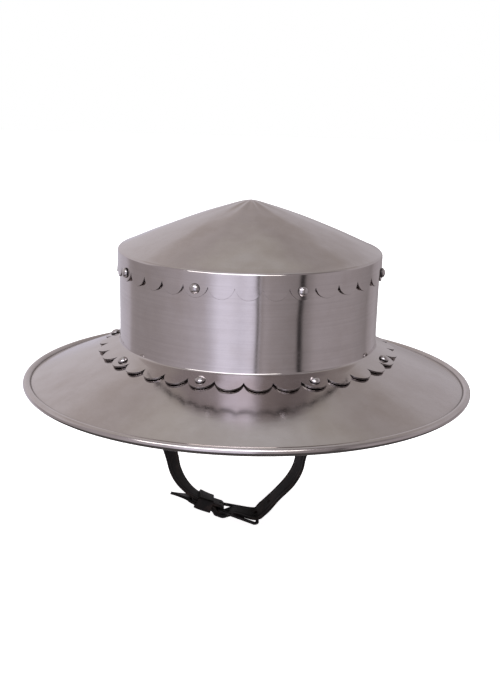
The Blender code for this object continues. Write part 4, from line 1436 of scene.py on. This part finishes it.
@dataclass(frozen=True)
class Studio:
    """Camera, floor and lamps; the camera's sizes are fitted to the hat's outline."""

    camera_place: tuple[float, float, float] = (-0.0104, -1.0405, 0.1865)
    pitch: float = math.radians(15.08)
    yaw: float = math.radians(0.69)
    roll: float = math.radians(1.52)
    focal_pixels: float = 1177.5
    frame_height: float = 700.0
    sensor: float = 36.0
    floor_gap: float = 0.012
    floor_size: float = 9.0
    floor_glow: float = 0.80
    lamps: tuple[Lamp, ...] = (
        Lamp("overhead_light", (0.0, 0.0, 2.6), (3.0, 3.0), 60.0, False),
        Lamp("front_softbox", (-0.42, -1.68, 1.35), (3.2, 0.80), 19.0, True),
    )

    def add_camera(self) -> None:
        """Create the camera."""
        data = bpy.data.cameras.new("camera")
        data.sensor_width = self.sensor
        data.lens = self.focal_pixels / self.frame_height * self.sensor
        data.clip_start, data.clip_end = 0.05, 50.0
        forward = Vector((math.sin(self.yaw) * math.cos(self.pitch),
                          math.cos(self.yaw) * math.cos(self.pitch), -math.sin(self.pitch)))
        level = Vector((math.cos(self.yaw), -math.sin(self.yaw), 0.0))
        upright = level.cross(forward)
        right = level * math.cos(self.roll) + upright * math.sin(self.roll)
        top = upright * math.cos(self.roll) - level * math.sin(self.roll)
        turn = Matrix((right, top, -forward)).transposed().to_4x4()
        camera = bpy.data.objects.new("camera", data)
        camera.matrix_world = Matrix.Translation(self.camera_place) @ turn
        bpy.context.scene.collection.objects.link(camera)
        bpy.context.scene.camera = camera

    def add_floor(self, lowest: float) -> None:
        """Lay a plain pale floor under the strap.

        Args:
            lowest: The height of the hat's lowest point.
        """
        bm = bmesh.new()
        bmesh.ops.create_grid(bm, x_segments=1, y_segments=1, size=self.floor_size / 2,
                              matrix=Matrix.Translation((0.0, 0.0, lowest - self.floor_gap)))
        mesh = bpy.data.meshes.new("floor")
        bm.to_mesh(mesh)
        bm.free()
        sheet = NodeSheet("pale_floor")
        cloud = sheet.ramp(sheet.noise(3.0, 2.0), 0.3, 0.7)
        sheet.set("Base Color", sheet.blend(cloud, (0.93, 0.93, 0.935), (0.95, 0.95, 0.95)))
        sheet.set("Roughness", 0.9)
        sheet.set("Specular IOR Level", 0.1)
        sheet.set("Emission Color", (1.0, 1.0, 1.0, 1.0))
        sheet.set("Emission Strength", self.floor_glow)
        mesh.materials.append(sheet.material)
        floor = bpy.data.objects.new("floor", mesh)
        bpy.context.scene.collection.objects.link(floor)
        floor.visible_glossy = False
        floor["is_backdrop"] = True

    def add_lamp(self, lamp: Lamp) -> None:
        """Hang a lamp that faces the hat, level."""
        data = bpy.data.lights.new(lamp.name, "AREA")
        data.shape = "RECTANGLE"
        data.size, data.size_y = lamp.size
        data.energy = lamp.power
        hung = bpy.data.objects.new(lamp.name, data)
        hung.location = lamp.place
        hung.rotation_mode = "QUATERNION"
        hung.rotation_quaternion = (-Vector(lamp.place)).to_track_quat("-Z", "Y")
        hung.visible_camera = False
        hung.visible_glossy = lamp.mirrored
        bpy.context.scene.collection.objects.link(hung)

    def build(self, lowest: float) -> None:
        """Set up the camera, the floor, the lamps and the surroundings."""
        bpy.context.scene.view_settings.view_transform = "Standard"
        self.add_camera()
        self.add_floor(lowest)
        for lamp in self.lamps:
            self.add_lamp(lamp)
        Surroundings().make()


def corners(box: Iterable[Vector]) -> list[list[float]]:
    """Return a box's corners as plain lists of numbers."""
    return [[float(value) for value in corner] for corner in box]


def main() -> None:
    """Build the studio and the hat's pieces in order, and report them."""
    logging.basicConfig(level=logging.INFO, format="%(name)s: %(message)s")
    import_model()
    cad_box = corners(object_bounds())
    Studio().build(cad_box[0][2])
    finishes = Finishes.make()
    sheet = Sheet()
    drum = Drum(sheet)
    cap = ConeCap(sheet, drum)
    brim = Brim(sheet, drum)
    strap = ChinStrap(drum)
    rivets = Rivets()
    pieces = cap.build(finishes) + drum.build(finishes) + brim.build(finishes)

    lap = 2 * sheet.thickness + sheet.lap_gap
    seats = [seat_matrix(polar(cap.radius, fixing.azimuth, -cap.rivet_drop),
                         polar(1.0, fixing.azimuth, 0.0)) for fixing in CAP_FIXINGS]
    pieces += rivets.build(numbered("cap_rivet", len(seats)), seats, lap, finishes)
    seats = []
    for fixing in FLANGE_FIXINGS:
        seat = drum.flange_point(drum.rivet_reach, fixing.azimuth)
        seats.append(seat_matrix(seat, drum.flange_point(drum.rivet_reach, fixing.azimuth, 1.0) - seat))
    pieces += rivets.build(numbered("brim_rivet", len(seats)), seats, lap, finishes)
    seats = [seat_matrix(polar(drum.radius, azimuth, -strap.rivet_drop), polar(1.0, azimuth, 0.0))
             for azimuth in (-strap.azimuth, strap.azimuth)]
    grip = drum.radius - strap.back + strap.thickness
    pieces += rivets.build(["strap_rivet_left", "strap_rivet_right"], seats, grip, finishes)
    pieces += strap.build(finishes)

    for piece in pieces:
        LOG.info("%s: %d faces", piece.name, len(piece.data.polygons))
    {"cad": cad_box, "visual": corners(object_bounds())}


if __name__ == "__main__":
    main()
